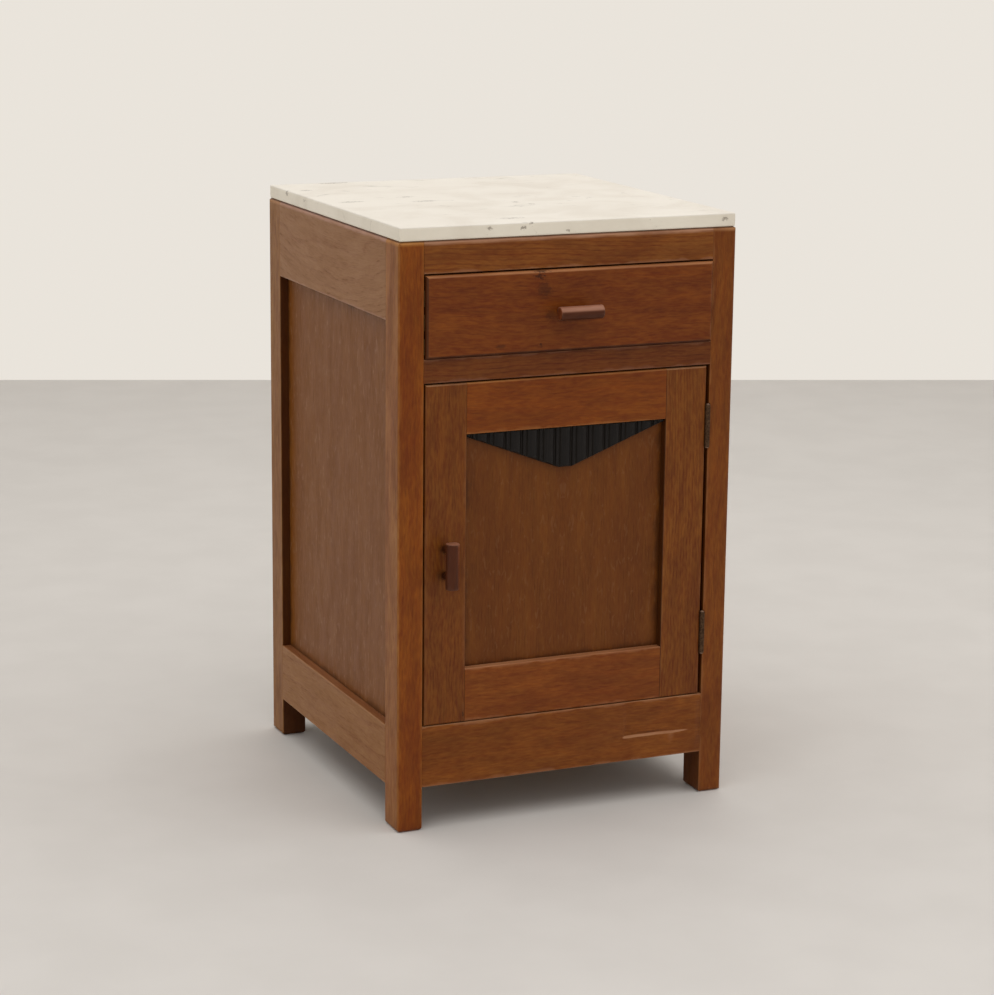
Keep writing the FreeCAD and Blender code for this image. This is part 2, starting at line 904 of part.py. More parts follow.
def drop_outline(y, upper_bevel, lower_bevel):
    """The ornament's closed outline at one depth, drawn in at the top and along the lower edges."""
    corners = [
        FreeCAD.Vector(ornament_left, y, ornament_top - upper_bevel),
        FreeCAD.Vector(ornament_left, y, ornament_end_low + lower_bevel),
        FreeCAD.Vector(apex_x - ornament_apex_width / 2, y, ornament_low + lower_bevel),
        FreeCAD.Vector(apex_x + ornament_apex_width / 2, y, ornament_low + lower_bevel),
        FreeCAD.Vector(ornament_right, y, ornament_end_low + lower_bevel),
        FreeCAD.Vector(ornament_right, y, ornament_top - upper_bevel),
    ]
    return Part.makePolygon(corners + corners[:1])


def upright_rib(middle_x, width, crown):
    """A half-round rib that stands on the board, as high as the ornament."""
    left = FreeCAD.Vector(middle_x - width / 2, valley_y, ornament_low)
    crest = FreeCAD.Vector(middle_x, valley_y - crown, ornament_low)
    right = FreeCAD.Vector(middle_x + width / 2, valley_y, ornament_low)
    outline = Part.Wire([Part.Arc(left, crest, right).toShape(), Part.makeLine(right, left)])
    return Part.Face(outline).extrude(FreeCAD.Vector(0, 0, ornament_apex_height))


board_face = Part.Face(drop_outline(panel_face_y, 0, 0))
ornament = board_face.extrude(FreeCAD.Vector(0, -ornament_base, 0))
rib_room = Part.makeLoft(
    [drop_outline(valley_y, 0, 0), drop_outline(crest_y, ornament_upper_bevel, ornament_lower_bevel)],
    True,
    True,
)
ribs_each_side = math.ceil((ornament_right - apex_x) / rib_pitch)
ribs = []
for index in range(-ribs_each_side, ribs_each_side + 1):
    rib_x = apex_x + index * rib_pitch
    ribs.append(upright_rib(rib_x, rib_width, rib_crown))
    ribs.append(upright_rib(rib_x + rib_pitch / 2, bead_width, bead_crown))
ornament = ornament.fuse([rib.common(rib_room) for rib in ribs]).removeSplitter()
save("door_ornament", ornament)

door_pull_point = (
    door_left + lock_stile_width / 2,
    door_face,
    (door_bottom + door_top) / 2 - door_pull_drop,
)
bar, posts, screws, holes = pull(door_pull_point, "z", door_thickness)
lock_stile = lock_stile.cut(holes)
save("door_pull_bar", bar)
save("door_pull_posts", Part.makeCompound(posts))
save("door_pull_screws", Part.makeCompound(screws))

# Door stop: a block under the divider rail, just behind the lock stile
stop_left = door_left + door_stop_inset
door_stop = block(
    stop_left,
    stop_left + door_stop_width,
    door_back + door_stop_play,
    door_back + door_stop_play + door_stop_depth,
    divider_bottom - door_stop_height,
    divider_bottom,
)
save("door_stop", door_stop)

# Butt hinges: a leaf let into the leg, a leaf let into the door's edge, and the pin between them
leaf_back = door_face + leaf_reach
leg_screws = []
door_screws = []


def hinge_leaf(side, middle_z, own_knuckles, other_knuckles):
    """A leaf with its knuckles; side is 1 on the leg and -1 on the door."""
    wood_x = hinge_x + side * door_hinge_gap / 2
    low, high = middle_z - hinge_length / 2, middle_z + hinge_length / 2
    leaf = block(wood_x, wood_x + side * leaf_thickness, hinge_y, leaf_back, low, high)
    for z_low, z_high in own_knuckles:
        leaf = leaf.fuse(rod(knuckle_radius, (hinge_x, hinge_y, z_low), (0, 0, 1), z_high - z_low))
    clear = [rod(hinge_pin_radius + hinge_pin_play, (hinge_x, hinge_y, low), (0, 0, 1), hinge_length)]
    for z_low, z_high in other_knuckles:
        clear_length = z_high - z_low + 2 * knuckle_end_play
        foot = (hinge_x, hinge_y, z_low - knuckle_end_play)
        clear.append(rod(knuckle_radius + knuckle_play, foot, (0, 0, 1), clear_length))
    screws, holes = [], []
    for step in (-1, 0, 1):
        point = (wood_x, (door_face + leaf_back) / 2, middle_z + step * hinge_screw_pitch)
        screws.append(wood_screw(point, (side, 0, 0), hinge_screw_length))
        holes.append(wood_screw_hole(point, (side, 0, 0), hinge_screw_length))
    recess = block(
        wood_x - side * cut_overrun,
        wood_x + side * (leaf_thickness + leaf_play),
        hinge_y,
        leaf_back + leaf_play,
        low - leaf_play,
        high + leaf_play,
    )
    return leaf.cut(clear + holes), screws, holes + [recess]


hinge_places = {
    "upper": door_top - hinge_upper_drop,
    "lower": door_bottom + hinge_lower_rise,
}
for name, middle_z in hinge_places.items():
    third = hinge_length / 3
    low, high = middle_z - hinge_length / 2, middle_z + hinge_length / 2
    leg_knuckles = [(low, low + third), (high - third, high)]
    door_knuckles = [(low + third + knuckle_end_play, high - third - knuckle_end_play)]
    leg_leaf, screws, leg_holes = hinge_leaf(1, middle_z, leg_knuckles, door_knuckles)
    leg_screws += screws
    door_leaf, screws, door_holes = hinge_leaf(-1, middle_z, door_knuckles, leg_knuckles)
    door_screws += screws
    tip = knuckle_end_play + pin_tip_height
    knuckle_room = rod(
        knuckle_radius + knuckle_play,
        (hinge_x, hinge_y, low - tip - knuckle_end_play),
        (0, 0, 1),
        hinge_length + 2 * (tip + knuckle_end_play),
    )
    leg_cuts["front_right_leg"] += leg_holes + [knuckle_room]
    hinge_stile = hinge_stile.cut(door_holes + [knuckle_room])
    pin_profile = [
        (0, -tip),
        (pin_tip_radius / 2, -tip),
        (pin_tip_radius, -tip + pin_tip_height / 2),
        (pin_tip_radius, -knuckle_end_play),
        (hinge_pin_radius, -knuckle_end_play),
        (hinge_pin_radius, hinge_length + knuckle_end_play),
        (pin_tip_radius, hinge_length + knuckle_end_play),
        (pin_tip_radius, hinge_length + tip - pin_tip_height / 2),
        (pin_tip_radius / 2, hinge_length + tip),
        (0, hinge_length + tip),
    ]
    save(name + "_hinge_leg_leaf", leg_leaf)
    save(name + "_hinge_door_leaf", door_leaf)
    save(name + "_hinge_pin", turned(pin_profile, (hinge_x, hinge_y, low), (0, 0, 1)))
save("hinge_leg_screws", Part.makeCompound(leg_screws))
save("hinge_door_screws", Part.makeCompound(door_screws))
save("door_hinge_stile", hinge_stile)

# Ball catch: a sprung ball in a barrel in the lock stile's edge, and its plate on the leg
catch_y = (door_face + door_back) / 2
catch_z = door_bottom + catch_rise
ball_out = door_lock_gap - ball_strike_gap
ball_x = door_left + ball_radius - ball_out
seat_radius = ball_radius + catch_fit_play
bore_end = catch_barrel_length - catch_barrel_end
edge_point = (door_left, catch_y, catch_z)
barrel = rod(catch_barrel_radius, edge_point, (1, 0, 0), catch_barrel_length)
barrel = barrel.fuse(rod(catch_flange_radius, edge_point, (1, 0, 0), catch_flange_thickness))
bore_length = bore_end - (ball_x - door_left)
bore = rod(seat_radius, (ball_x, catch_y, catch_z), (1, 0, 0), bore_length)
seat = Part.makeSphere(seat_radius, FreeCAD.Vector(ball_x, catch_y, catch_z))
save("catch_barrel", barrel.cut(seat.fuse(bore)))
save("catch_ball", Part.makeSphere(ball_radius, FreeCAD.Vector(ball_x, catch_y, catch_z)))

# The spring stands between the ball's back, at the spring's own bore, and the barrel's closed end
spring_bore = spring_radius - spring_wall
ball_rest = math.sqrt(ball_radius ** 2 - spring_bore ** 2)
spring_start = ball_x + ball_rest + spring_end_play
spring_length = door_left + bore_end - spring_start
spring_foot = (spring_start, catch_y, catch_z)
spring = rod(spring_radius, spring_foot, (1, 0, 0), spring_length)
spring = spring.cut(rod(spring_bore, spring_foot, (1, 0, 0), spring_length))
save("catch_spring", spring)

barrel_room = rod(
    catch_barrel_radius + catch_fit_play,
    edge_point,
    (1, 0, 0),
    catch_barrel_length + catch_fit_play,
)
flange_room = rod(
    catch_flange_radius + catch_fit_play,
    (door_left - cut_overrun, catch_y, catch_z),
    (1, 0, 0),
    cut_overrun + catch_flange_thickness + catch_fit_play,
)
save("door_lock_stile", lock_stile.cut([barrel_room, flange_room]))

strike_faces = (-inner_x, -inner_x - strike_thickness)
strike = block(
    *strike_faces,
    catch_y - strike_width / 2,
    catch_y + strike_width / 2,
    catch_z - strike_length / 2,
    catch_z + strike_length / 2,
)
strike_hole = rod(
    strike_hole_radius,
    (-inner_x + cut_overrun, catch_y, catch_z),
    (-1, 0, 0),
    cut_overrun + strike_hole_depth,
)
strike_screws = []
strike_holes = [strike_hole]
for step in (-1, 1):
    point = (-inner_x, catch_y, catch_z + step * strike_screw_pitch / 2)
    strike_screws.append(wood_screw(point, (-1, 0, 0), strike_screw_length))
    strike_holes.append(wood_screw_hole(point, (-1, 0, 0), strike_screw_length))
strike_room = block(
    -inner_x + cut_overrun,
    -inner_x - strike_thickness - leaf_play,
    catch_y - strike_width / 2 - leaf_play,
    catch_y + strike_width / 2 + leaf_play,
    catch_z - strike_length / 2 - leaf_play,
    catch_z + strike_length / 2 + leaf_play,
)
save("catch_strike_plate", strike.cut(strike_holes))
save("catch_strike_screws", Part.makeCompound(strike_screws))
leg_cuts["front_left_leg"] += strike_holes + [strike_room]

# Legs last, once everything that is let into them is known
for name, side in SIDES.items():
    front_leg = leg(side, front_y, front_leg_back)
    rear_leg = leg(side, back_y, rear_leg_front)
    save("front_" + name + "_leg", front_leg.cut(leg_cuts["front_" + name + "_leg"]))
    save("rear_" + name + "_leg", rear_leg.cut(leg_cuts["rear_" + name + "_leg"]))
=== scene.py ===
import json
import math

import bmesh
import bpy
from mathutils import Euler, Matrix, Vector, noise


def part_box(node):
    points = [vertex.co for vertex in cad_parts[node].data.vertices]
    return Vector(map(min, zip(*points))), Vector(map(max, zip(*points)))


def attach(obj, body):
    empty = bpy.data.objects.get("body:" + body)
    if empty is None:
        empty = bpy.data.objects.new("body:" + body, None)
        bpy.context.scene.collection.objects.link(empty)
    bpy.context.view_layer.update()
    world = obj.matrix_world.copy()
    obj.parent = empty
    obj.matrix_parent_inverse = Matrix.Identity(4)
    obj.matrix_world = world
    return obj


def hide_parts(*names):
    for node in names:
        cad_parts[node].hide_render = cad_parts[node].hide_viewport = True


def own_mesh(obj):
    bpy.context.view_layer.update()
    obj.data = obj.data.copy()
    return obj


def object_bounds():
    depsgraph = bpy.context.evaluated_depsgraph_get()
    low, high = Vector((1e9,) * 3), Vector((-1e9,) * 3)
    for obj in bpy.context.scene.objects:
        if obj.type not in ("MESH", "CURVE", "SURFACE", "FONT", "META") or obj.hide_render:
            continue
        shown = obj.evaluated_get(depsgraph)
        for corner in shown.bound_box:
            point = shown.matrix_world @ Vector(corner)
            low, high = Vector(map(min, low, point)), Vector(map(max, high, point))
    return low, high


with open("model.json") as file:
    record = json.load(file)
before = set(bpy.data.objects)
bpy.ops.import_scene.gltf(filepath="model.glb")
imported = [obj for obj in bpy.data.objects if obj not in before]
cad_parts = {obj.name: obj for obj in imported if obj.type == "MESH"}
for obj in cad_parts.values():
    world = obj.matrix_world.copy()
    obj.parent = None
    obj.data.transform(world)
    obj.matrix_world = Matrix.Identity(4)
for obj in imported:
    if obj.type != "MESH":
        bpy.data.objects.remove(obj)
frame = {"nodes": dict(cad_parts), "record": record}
cad_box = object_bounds()

# Legs: four square posts of brown-stained oak with the grain upright, mortised for the rails. Their
# outer arrises are rounded with a plane, and years of handling have rubbed the edges a little paler.


def add_node(tree, kind, inputs=None, **settings):
    """Add a shader node. Each input is a plain value or the output of another node."""
    made = tree.nodes.new("ShaderNode" + kind)
    for key, value in settings.items():
        setattr(made, key, value)
    for key, value in (inputs or {}).items():
        if isinstance(value, bpy.types.NodeSocket):
            tree.links.new(value, made.inputs[key])
        else:
            made.inputs[key].default_value = value
    return made


def number(tree, operation, first, second=0.0, third=0.0):
    return add_node(tree, "Math", {0: first, 1: second, 2: third}, operation=operation).outputs[0]


def vector(tree, operation, first, second=(0.0, 0.0, 0.0)):
    made = add_node(tree, "VectorMath", {0: first, 1: second}, operation=operation)
    return made.outputs["Value" if operation == "LENGTH" else "Vector"]


def fade(tree, value, start, end, first=0.0, last=1.0):
    """A smooth step from first to last as value goes from start to end."""
    inputs = {"Value": value, "From Min": start, "From Max": end, "To Min": first, "To Max": last}
    return add_node(tree, "MapRange", inputs, interpolation_type="SMOOTHSTEP").outputs["Result"]


def mix_colours(tree, share, first, second, blend="MIX"):
    made = add_node(tree, "Mix", {0: share, 6: first, 7: second}, data_type="RGBA", blend_type=blend)
    return made.outputs[2]


def cloud(tree, place, scale, detail=2.0, distortion=0.0, crispness=0.5):
    """Noise from 0 to 1; scale is its features per metre along each axis."""
    inputs = {
        "Vector": vector(tree, "MULTIPLY", place, scale),
        "Scale": 1.0,
        "Detail": detail,
        "Roughness": crispness,
        "Distortion": distortion,
    }
    return add_node(tree, "TexNoise", inputs).outputs["Fac"]


# Most of a cloud's values lie between these two.
SPREAD = (0.3, 0.7)


def new_group(name, inputs, outputs):
    """A shader node group with named sockets; returns it, what it is given and what it puts out."""
    group = bpy.data.node_groups.new(name, "ShaderNodeTree")
    for label, kind in inputs.items():
        group.interface.new_socket(label, in_out="INPUT", socket_type="NodeSocket" + kind)
    for label, kind in outputs.items():
        group.interface.new_socket(label, in_out="OUTPUT", socket_type="NodeSocket" + kind)
    given = group.nodes.new("NodeGroupInput").outputs
    wanted = group.nodes.new("NodeGroupOutput").inputs
    return group, given, wanted


def make_wood_grain():
    """Grain of a sawn log whose heart is the Z axis, from yearly lines down to pores and ray flecks."""
    inputs = {"Log": "Vector", "Ring width": "Float"}
    names = ("Lines", "Flame", "Blush", "Streaks", "Fibres", "Pores", "Flecks")
    group, given, wanted = new_group("wood_grain", inputs, {name: "Float" for name in names})
    log = given["Log"]
    slow_bend = ((5.0, 5.0, 2.0), 3.0, 0.035)
    quick_wave = ((16.0, 16.0, 15.0), 1.0, 0.008)
    bent = log
    for scale, detail, reach in (slow_bend, quick_wave):
        noise_inputs = {"Vector": vector(group, "MULTIPLY", log, scale), "Scale": 1.0, "Detail": detail}
        shift = add_node(group, "TexNoise", noise_inputs).outputs["Color"]
        shift = vector(group, "SUBTRACT", shift, (0.5, 0.5, 0.5))
        bent = vector(group, "ADD", bent, vector(group, "MULTIPLY", shift, (reach, reach, 0.0)))
    across = vector(group, "MULTIPLY", bent, (1.0, 1.0, 0.0))
    count = number(group, "DIVIDE", vector(group, "LENGTH", across), given["Ring width"])
    uneven = cloud(group, across, (45.0, 45.0, 1.0))
    uneven_years, darkest, line_end = 1.6, 0.14, 0.5
    phase = number(group, "FRACT", number(group, "MULTIPLY_ADD", uneven, uneven_years, count))
    onset = fade(group, phase, 0.0, darkest)
    tail = fade(group, phase, darkest, line_end, 1.0, 0.0)
    year = fade(group, cloud(group, log, (36.0, 36.0, 3.0)), 0.36, 0.64, 0.4, 1.0)
    dashes = fade(group, cloud(group, log, (1150.0, 1150.0, 40.0), detail=1.0), 0.57, 0.67)
    lines = number(group, "MULTIPLY", number(group, "MULTIPLY", onset, tail), year)
    found = {
        "Lines": lines,
        "Flame": fade(group, cloud(group, log, (26.0, 26.0, 5.0), 5.0, 0.8, 0.55), *SPREAD),
        "Blush": fade(group, cloud(group, log, (60.0, 60.0, 14.0), 5.0, 0.5, 0.7), 0.32, 0.68),
        "Streaks": fade(group, cloud(group, bent, (160.0, 160.0, 32.0), detail=3.0), *SPREAD),
        "Fibres": fade(group, cloud(group, bent, (500.0, 500.0, 90.0)), *SPREAD),
        "Pores": number(group, "MULTIPLY", dashes, fade(group, lines, 0.0, 1.0, 0.35, 1.0)),
        "Flecks": fade(group, cloud(group, log, (230.0, 230.0, 66.0), distortion=0.8), 0.58, 0.7),
    }
    for name, value in found.items():
        group.links.new(value, wanted[name])
    return group


def make_edge_reach():
    """1 at the edges of a box, fading unevenly to 0 at about the given reach from them."""
    inputs = {"Place": "Vector", "Low": "Vector", "High": "Vector", "Reach": "Float"}
    group, given, wanted = new_group("edge_reach", inputs, {"Edge": "Float"})
    from_low = vector(group, "SUBTRACT", given["Place"], given["Low"])
    from_high = vector(group, "SUBTRACT", given["High"], given["Place"])
    nearest = vector(group, "MINIMUM", from_low, from_high)
    x, y, z = add_node(group, "SeparateXYZ", {0: nearest}).outputs
    lesser = number(group, "MINIMUM", x, y)
    greater = number(group, "MAXIMUM", x, y)
    away = number(group, "MAXIMUM", lesser, number(group, "MINIMUM", greater, z))
    least_reach, most_reach = 0.15, 1.6
    patches = cloud(group, given["Place"], (42.0, 42.0, 42.0), detail=4.0)
    patches = fade(group, patches, 0.3, 0.75, least_reach, most_reach)
    reach = number(group, "MULTIPLY", given["Reach"], patches)
    group.links.new(fade(group, away, 0.0, reach, 1.0, 0.0), wanted["Edge"])
    return group


def make_blemish():
    """A spot, ragged or soft: 1 inside an ellipsoid of the given half sizes, fading to 0 outside it."""
    inputs = {"Place": "Vector", "Middle": "Vector", "Size": "Vector", "Ragged": "Float"}
    group, given, wanted = new_group("blemish", inputs, {"Spot": "Float"})
    away = vector(group, "SUBTRACT", given["Place"], given["Middle"])
    away = vector(group, "LENGTH", vector(group, "DIVIDE", away, given["Size"]))
    ragged = cloud(group, given["Place"], (380.0, 380.0, 380.0), detail=3.0)
    ragged = number(group, "MULTIPLY", fade(group, ragged, 0.25, 0.75, -0.4, 0.6), given["Ragged"])
    group.links.new(fade(group, number(group, "ADD", away, ragged), 0.3, 1.1, 1.0, 0.0), wanted["Spot"])
    return group


def make_carcass_age():
    """Painted side light and sheen on the outer sides, worn and lit top edges, and painted shade under
    the slab.
    """
    outputs = {"Faded": "Float", "Worn": "Float", "Grime": "Float"}
    group, given, wanted = new_group("carcass_age", {"Place": "Vector"}, outputs)
    side_face, slab_foot = cad_box[1].x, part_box("marble_top")[0].z
    fade_starts, fade_full = side_face - 0.0017, side_face - 0.001
    wear_starts, wear_full, least_wear, most_wear = slab_foot - 0.0065, slab_foot - 0.0035, 0.25, 0.7
    grime_starts, grime_full, most_grime = slab_foot - 0.0022, slab_foot - 0.0012, 0.5
    x, y, z = add_node(group, "SeparateXYZ", {0: given["Place"]}).outputs
    # Painted light and sheen: picks out the outer side faces, which are made paler and greyer.
    group.links.new(fade(group, number(group, "ABSOLUTE", x), fade_starts, fade_full), wanted["Faded"])
    patches = cloud(group, given["Place"], (34.0, 34.0, 34.0), detail=3.0)
    patches = fade(group, patches, *SPREAD, least_wear, most_wear)
    # Partly real wear and partly a painted highlight: the rounded top edges under the slab are made
    # paler.
    band = fade(group, z, wear_starts, wear_full)
    group.links.new(number(group, "MULTIPLY", band, patches), wanted["Worn"])
    # Painted shade: the wood just under the slab is darkened, where shade falls in the crease.
    group.links.new(fade(group, z, grime_starts, grime_full, 0.0, most_grime), wanted["Grime"])
    return group


def make_looking():
    """1 on the faces that look the given way, 0 on the others."""
    inputs = {"Normal": "Vector", "Toward": "Vector"}
    group, given, wanted = new_group("looking", inputs, {"Share": "Float"})
    pair = {0: given["Normal"], 1: given["Toward"]}
    facing = add_node(group, "VectorMath", pair, operation="DOT_PRODUCT").outputs["Value"]
    group.links.new(fade(group, facing, 0.1, 0.5), wanted["Share"])
    return group


wood_grain = make_wood_grain()
edge_reach = make_edge_reach()
blemish = make_blemish()
carcass_age = make_carcass_age()
looking = make_looking()
GRAIN = {
    "upright": Euler((0.0, 0.0, 0.0)),
    "across": Euler((0.0, math.radians(90.0), 0.0)),
    "deep": Euler((math.radians(-90.0), 0.0, 0.0)),
}


def new_material(name, **constants):
    """A material with its shader's plain numbers set; returns it, its node tree and its shader."""
    material = bpy.data.materials.new(name)
    material.use_nodes = True
    shader = material.node_tree.nodes["Principled BSDF"]
    for label, value in constants.items():
        shader.inputs[label.replace("_", " ")].default_value = value
    return material, material.node_tree, shader


def object_place(tree):
    return add_node(tree, "TexCoord").outputs["Object"]


def edge_mask(tree, place, low, high, reach):
    inputs = {"Place": place, "Low": low, "High": high, "Reach": reach}
    return add_node(tree, "Group", inputs, node_tree=edge_reach).outputs["Edge"]


def spot_mask(tree, place, marks, ragged=1.0):
    """All the marks of a piece together; each is its middle and its half sizes."""
    mask = 0.0
    for middle, size in marks:
        inputs = {"Place": place, "Middle": middle, "Size": size, "Ragged": ragged}
        spot = add_node(tree, "Group", inputs, node_tree=blemish).outputs["Spot"]
        mask = number(tree, "MAXIMUM", spot, mask)
    return mask


def faces_toward(tree, toward):
    inputs = {"Normal": add_node(tree, "TexCoord").outputs["Normal"], "Toward": toward}
    return add_node(tree, "Group", inputs, node_tree=looking).outputs["Share"]


def tinted(colour, tint):
    return tuple(part * share for part, share in zip(colour, tint)) + (1.0,)


# How far the flame and the blush lighten or darken the wood's red, green and blue.
FLAME_SWING = (0.07, 0.11, 0.16)
BLUSH_SWING = (0.1, 0.09, 0.03)


def wood(name, low, high, grain, pith, lean, colours, ring=0.0034, lines=0.12, streaks=0.14, fibres=0.24,
         flame=1.0, patchy=0.8, flecks=0.0, wear=0.36, crest=0.75, tint=(1.0, 1.0, 1.0),
         faded=(1.42, 2.15, 5.4), mirror=None, sag=0.0, sight=None, dirty=None, dirt=0.75, marks=(),
         smudges=(), bare=()):
    """Wood cut from a log. pith is where the heart of the log runs, from the middle of the piece."""
    worn_reach, sight_reach = 0.004, 0.009
    mean_tone, mean_flame = 0.4, 0.89
    pore_share, sight_share, smudge_share, mark_share, bare_share = 0.3, 0.55, 0.5, 0.8, 0.1
    fibre_height, pore_height, mark_height, relief, relief_depth = 0.5, -1.0, -3.0, 0.3, 0.0003
    polished, dull, pore_dullness = 0.4, 0.48, 0.2
    material, tree, shader = new_material(name, Specular_IOR_Level=0.2)
    place = object_place(tree)
    middle = (low + high) / 2
    x, y, z = add_node(tree, "SeparateXYZ", {0: place}).outputs
    if mirror is not None:
        x = number(tree, "ABSOLUTE", number(tree, "SUBTRACT", x, mirror))
    if sag:
        along = number(tree, "SUBTRACT", y, middle.y)
        z = number(tree, "MULTIPLY_ADD", number(tree, "MULTIPLY", along, along), -sag, z)
    sawn = add_node(tree, "CombineXYZ", {0: x, 1: y, 2: z}).outputs[0]
    turn = GRAIN[grain].to_matrix() @ Euler(lean).to_matrix()
    heart = middle + Vector(pith)
    inputs = {"Vector": sawn, "Location": heart, "Rotation": turn.to_euler()}
    log = add_node(tree, "Mapping", inputs, vector_type="TEXTURE").outputs["Vector"]
    cut = add_node(tree, "Group", {"Log": log, "Ring width": ring}, node_tree=wood_grain).outputs
    age = add_node(tree, "Group", {"Place": place}, node_tree=carcass_age).outputs
    # Edges and tops are lightened towards the worn colour: real wear at the edges, with a painted
    # highlight on faces that look up and on the band under the slab.
    rubbed = number(tree, "MULTIPLY", edge_mask(tree, place, low, high, worn_reach), wear)
    rubbed = number(tree, "MAXIMUM", rubbed, age["Worn"])
    topmost = fade(tree, cut["Flame"], 0.0, 1.0, crest, 0.5 * crest)
    topmost = number(tree, "MULTIPLY", faces_toward(tree, (0.0, 0.0, 1.0)), topmost)
    rubbed = number(tree, "MAXIMUM", rubbed, topmost)

    light, dark, pore, worn = [tinted(colour, tint) for colour in colours]
    # Fibres and streaks are dark by half on average and lines by a fifth, so this keeps the mean tone.
    plain_tone = mean_tone - 0.5 * fibres - 0.5 * streaks - 0.2 * lines
    tone = number(tree, "MULTIPLY_ADD", cut["Fibres"], fibres, plain_tone)
    tone = number(tree, "MULTIPLY_ADD", cut["Streaks"], streaks, tone)
    tone = number(tree, "MULTIPLY_ADD", cut["Lines"], lines, tone)
    colour = mix_colours(tree, tone, light, dark)
    for mask, mean, strength, swing in (
        (cut["Flame"], mean_flame, flame, FLAME_SWING), (cut["Blush"], 1.0, patchy, BLUSH_SWING)
    ):
        pale = tuple(mean + strength * part for part in swing) + (1.0,)
        deep = tuple(mean - strength * part for part in swing) + (1.0,)
        colour = mix_colours(tree, 1.0, colour, mix_colours(tree, mask, pale, deep), blend="MULTIPLY")
    # Painted light: the outer side faces are made paler and greyer, for the side light and sheen they
    # catch.
    colour = mix_colours(tree, age["Faded"], colour, faded + (1.0,), blend="MULTIPLY")
    colour = mix_colours(tree, number(tree, "MULTIPLY", cut["Flecks"], flecks), colour, worn)
    colour = mix_colours(tree, number(tree, "MULTIPLY", cut["Pores"], pore_share), colour, pore)
    colour = mix_colours(tree, rubbed, colour, worn)
    # Painted shade in the crease under the slab.
    colour = mix_colours(tree, age["Grime"], colour, pore)
    # Painted shade: faces that look the given way are darkened towards the pore colour, for gaps,
    # recesses and undersides.
    if dirty is not None:
        soiled = number(tree, "MULTIPLY", faces_toward(tree, dirty), dirt)
        colour = mix_colours(tree, soiled, colour, pore)
    # Painted shade along the edges of a panel's sight, where the frame stands proud of it.
    if sight is not None:
        shade = number(tree, "MULTIPLY", edge_mask(tree, place, *sight, sight_reach), sight_share)
        colour = mix_colours(tree, shade, colour, pore)
    height = number(tree, "MULTIPLY", cut["Fibres"], fibre_height)
    height = number(tree, "MULTIPLY_ADD", cut["Pores"], pore_height, height)
    # Soft dark spots: stains, and painted shadows and shade where a piece lists them.
    if smudges:
        smudged = number(tree, "MULTIPLY", spot_mask(tree, place, smudges, ragged=0.4), smudge_share)
        colour = mix_colours(tree, smudged, colour, pore)
    if marks:
        bruise = spot_mask(tree, place, marks)
        colour = mix_colours(tree, number(tree, "MULTIPLY", bruise, mark_share), colour, pore)
        height = number(tree, "MULTIPLY_ADD", bruise, mark_height, height)
    # Spots lightened towards the worn colour: bare wood with a painted highlight.
    if bare:
        scraped = number(tree, "MULTIPLY", spot_mask(tree, place, bare), bare_share)
        colour = mix_colours(tree, scraped, colour, worn)
    tree.links.new(colour, shader.inputs["Base Color"])
    rough = fade(tree, cut["Blush"], 0.0, 1.0, polished, dull)
    rough = number(tree, "MULTIPLY_ADD", cut["Pores"], pore_dullness, rough)
    tree.links.new(rough, shader.inputs["Roughness"])
    bump = add_node(tree, "Bump", {"Height": height, "Strength": relief, "Distance": relief_depth})
    tree.links.new(bump.outputs["Normal"], shader.inputs["Normal"])
    return material


# Each kind of wood: its pale and its dark streaks, the colour of its pores and of its painted shade, and
# that of its rubbed edges and painted highlights.
OAK = [(0.242, 0.069, 0.0078), (0.149, 0.0272, 0.0016), (0.035, 0.009, 0.002), (0.42, 0.2, 0.105)]


def finish_node(node, material):
    frame["nodes"][node].material_slots[0].material = material


def oak(node, grain, pith, lean=(0.0, 0.0, 0.0), **look):
    low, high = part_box(node)
    material = wood(node + "_oak", low, high, grain, pith, lean, OAK, **look)
    finish_node(node, material)
    return material


leg_look = {"wear": 0.2, "flame": 1.3, "streaks": 0.36, "fibres": 0.42, "patchy": 1.0}
rear_tint = (0.95, 0.95, 0.77)
# Painted shade darkens each leg's inner faces, which look into the recesses and under the carcass; the
# outer side faces get painted side light and sheen.
oak("front_left_leg", "upright", (0.15, 0.11, 0.4), (0.0, 0.012, 0.0), dirty=(1.0, 1.0, 0.0),
    tint=(1.15, 1.05, 0.45), faded=(1.27, 1.9, 8.6), **(leg_look | {"flame": 2.1}))
oak("front_right_leg", "upright", (-0.13, 0.16, 1.9), (0.01, 0.0, 0.0), dirty=(-1.0, 1.0, 0.0), dirt=0.5,
    tint=(1.0, 1.01, 0.78), **leg_look)
oak("rear_left_leg", "upright", (0.17, -0.12, 3.1), (0.0, -0.01, 0.0), dirty=(1.0, -1.0, 0.0),
    tint=rear_tint, **leg_look)
oak("rear_right_leg", "upright", (-0.11, -0.14, 4.7), (0.008, 0.01, 0.0), dirty=(-1.0, -1.0, 0.0),
    tint=rear_tint, **leg_look)

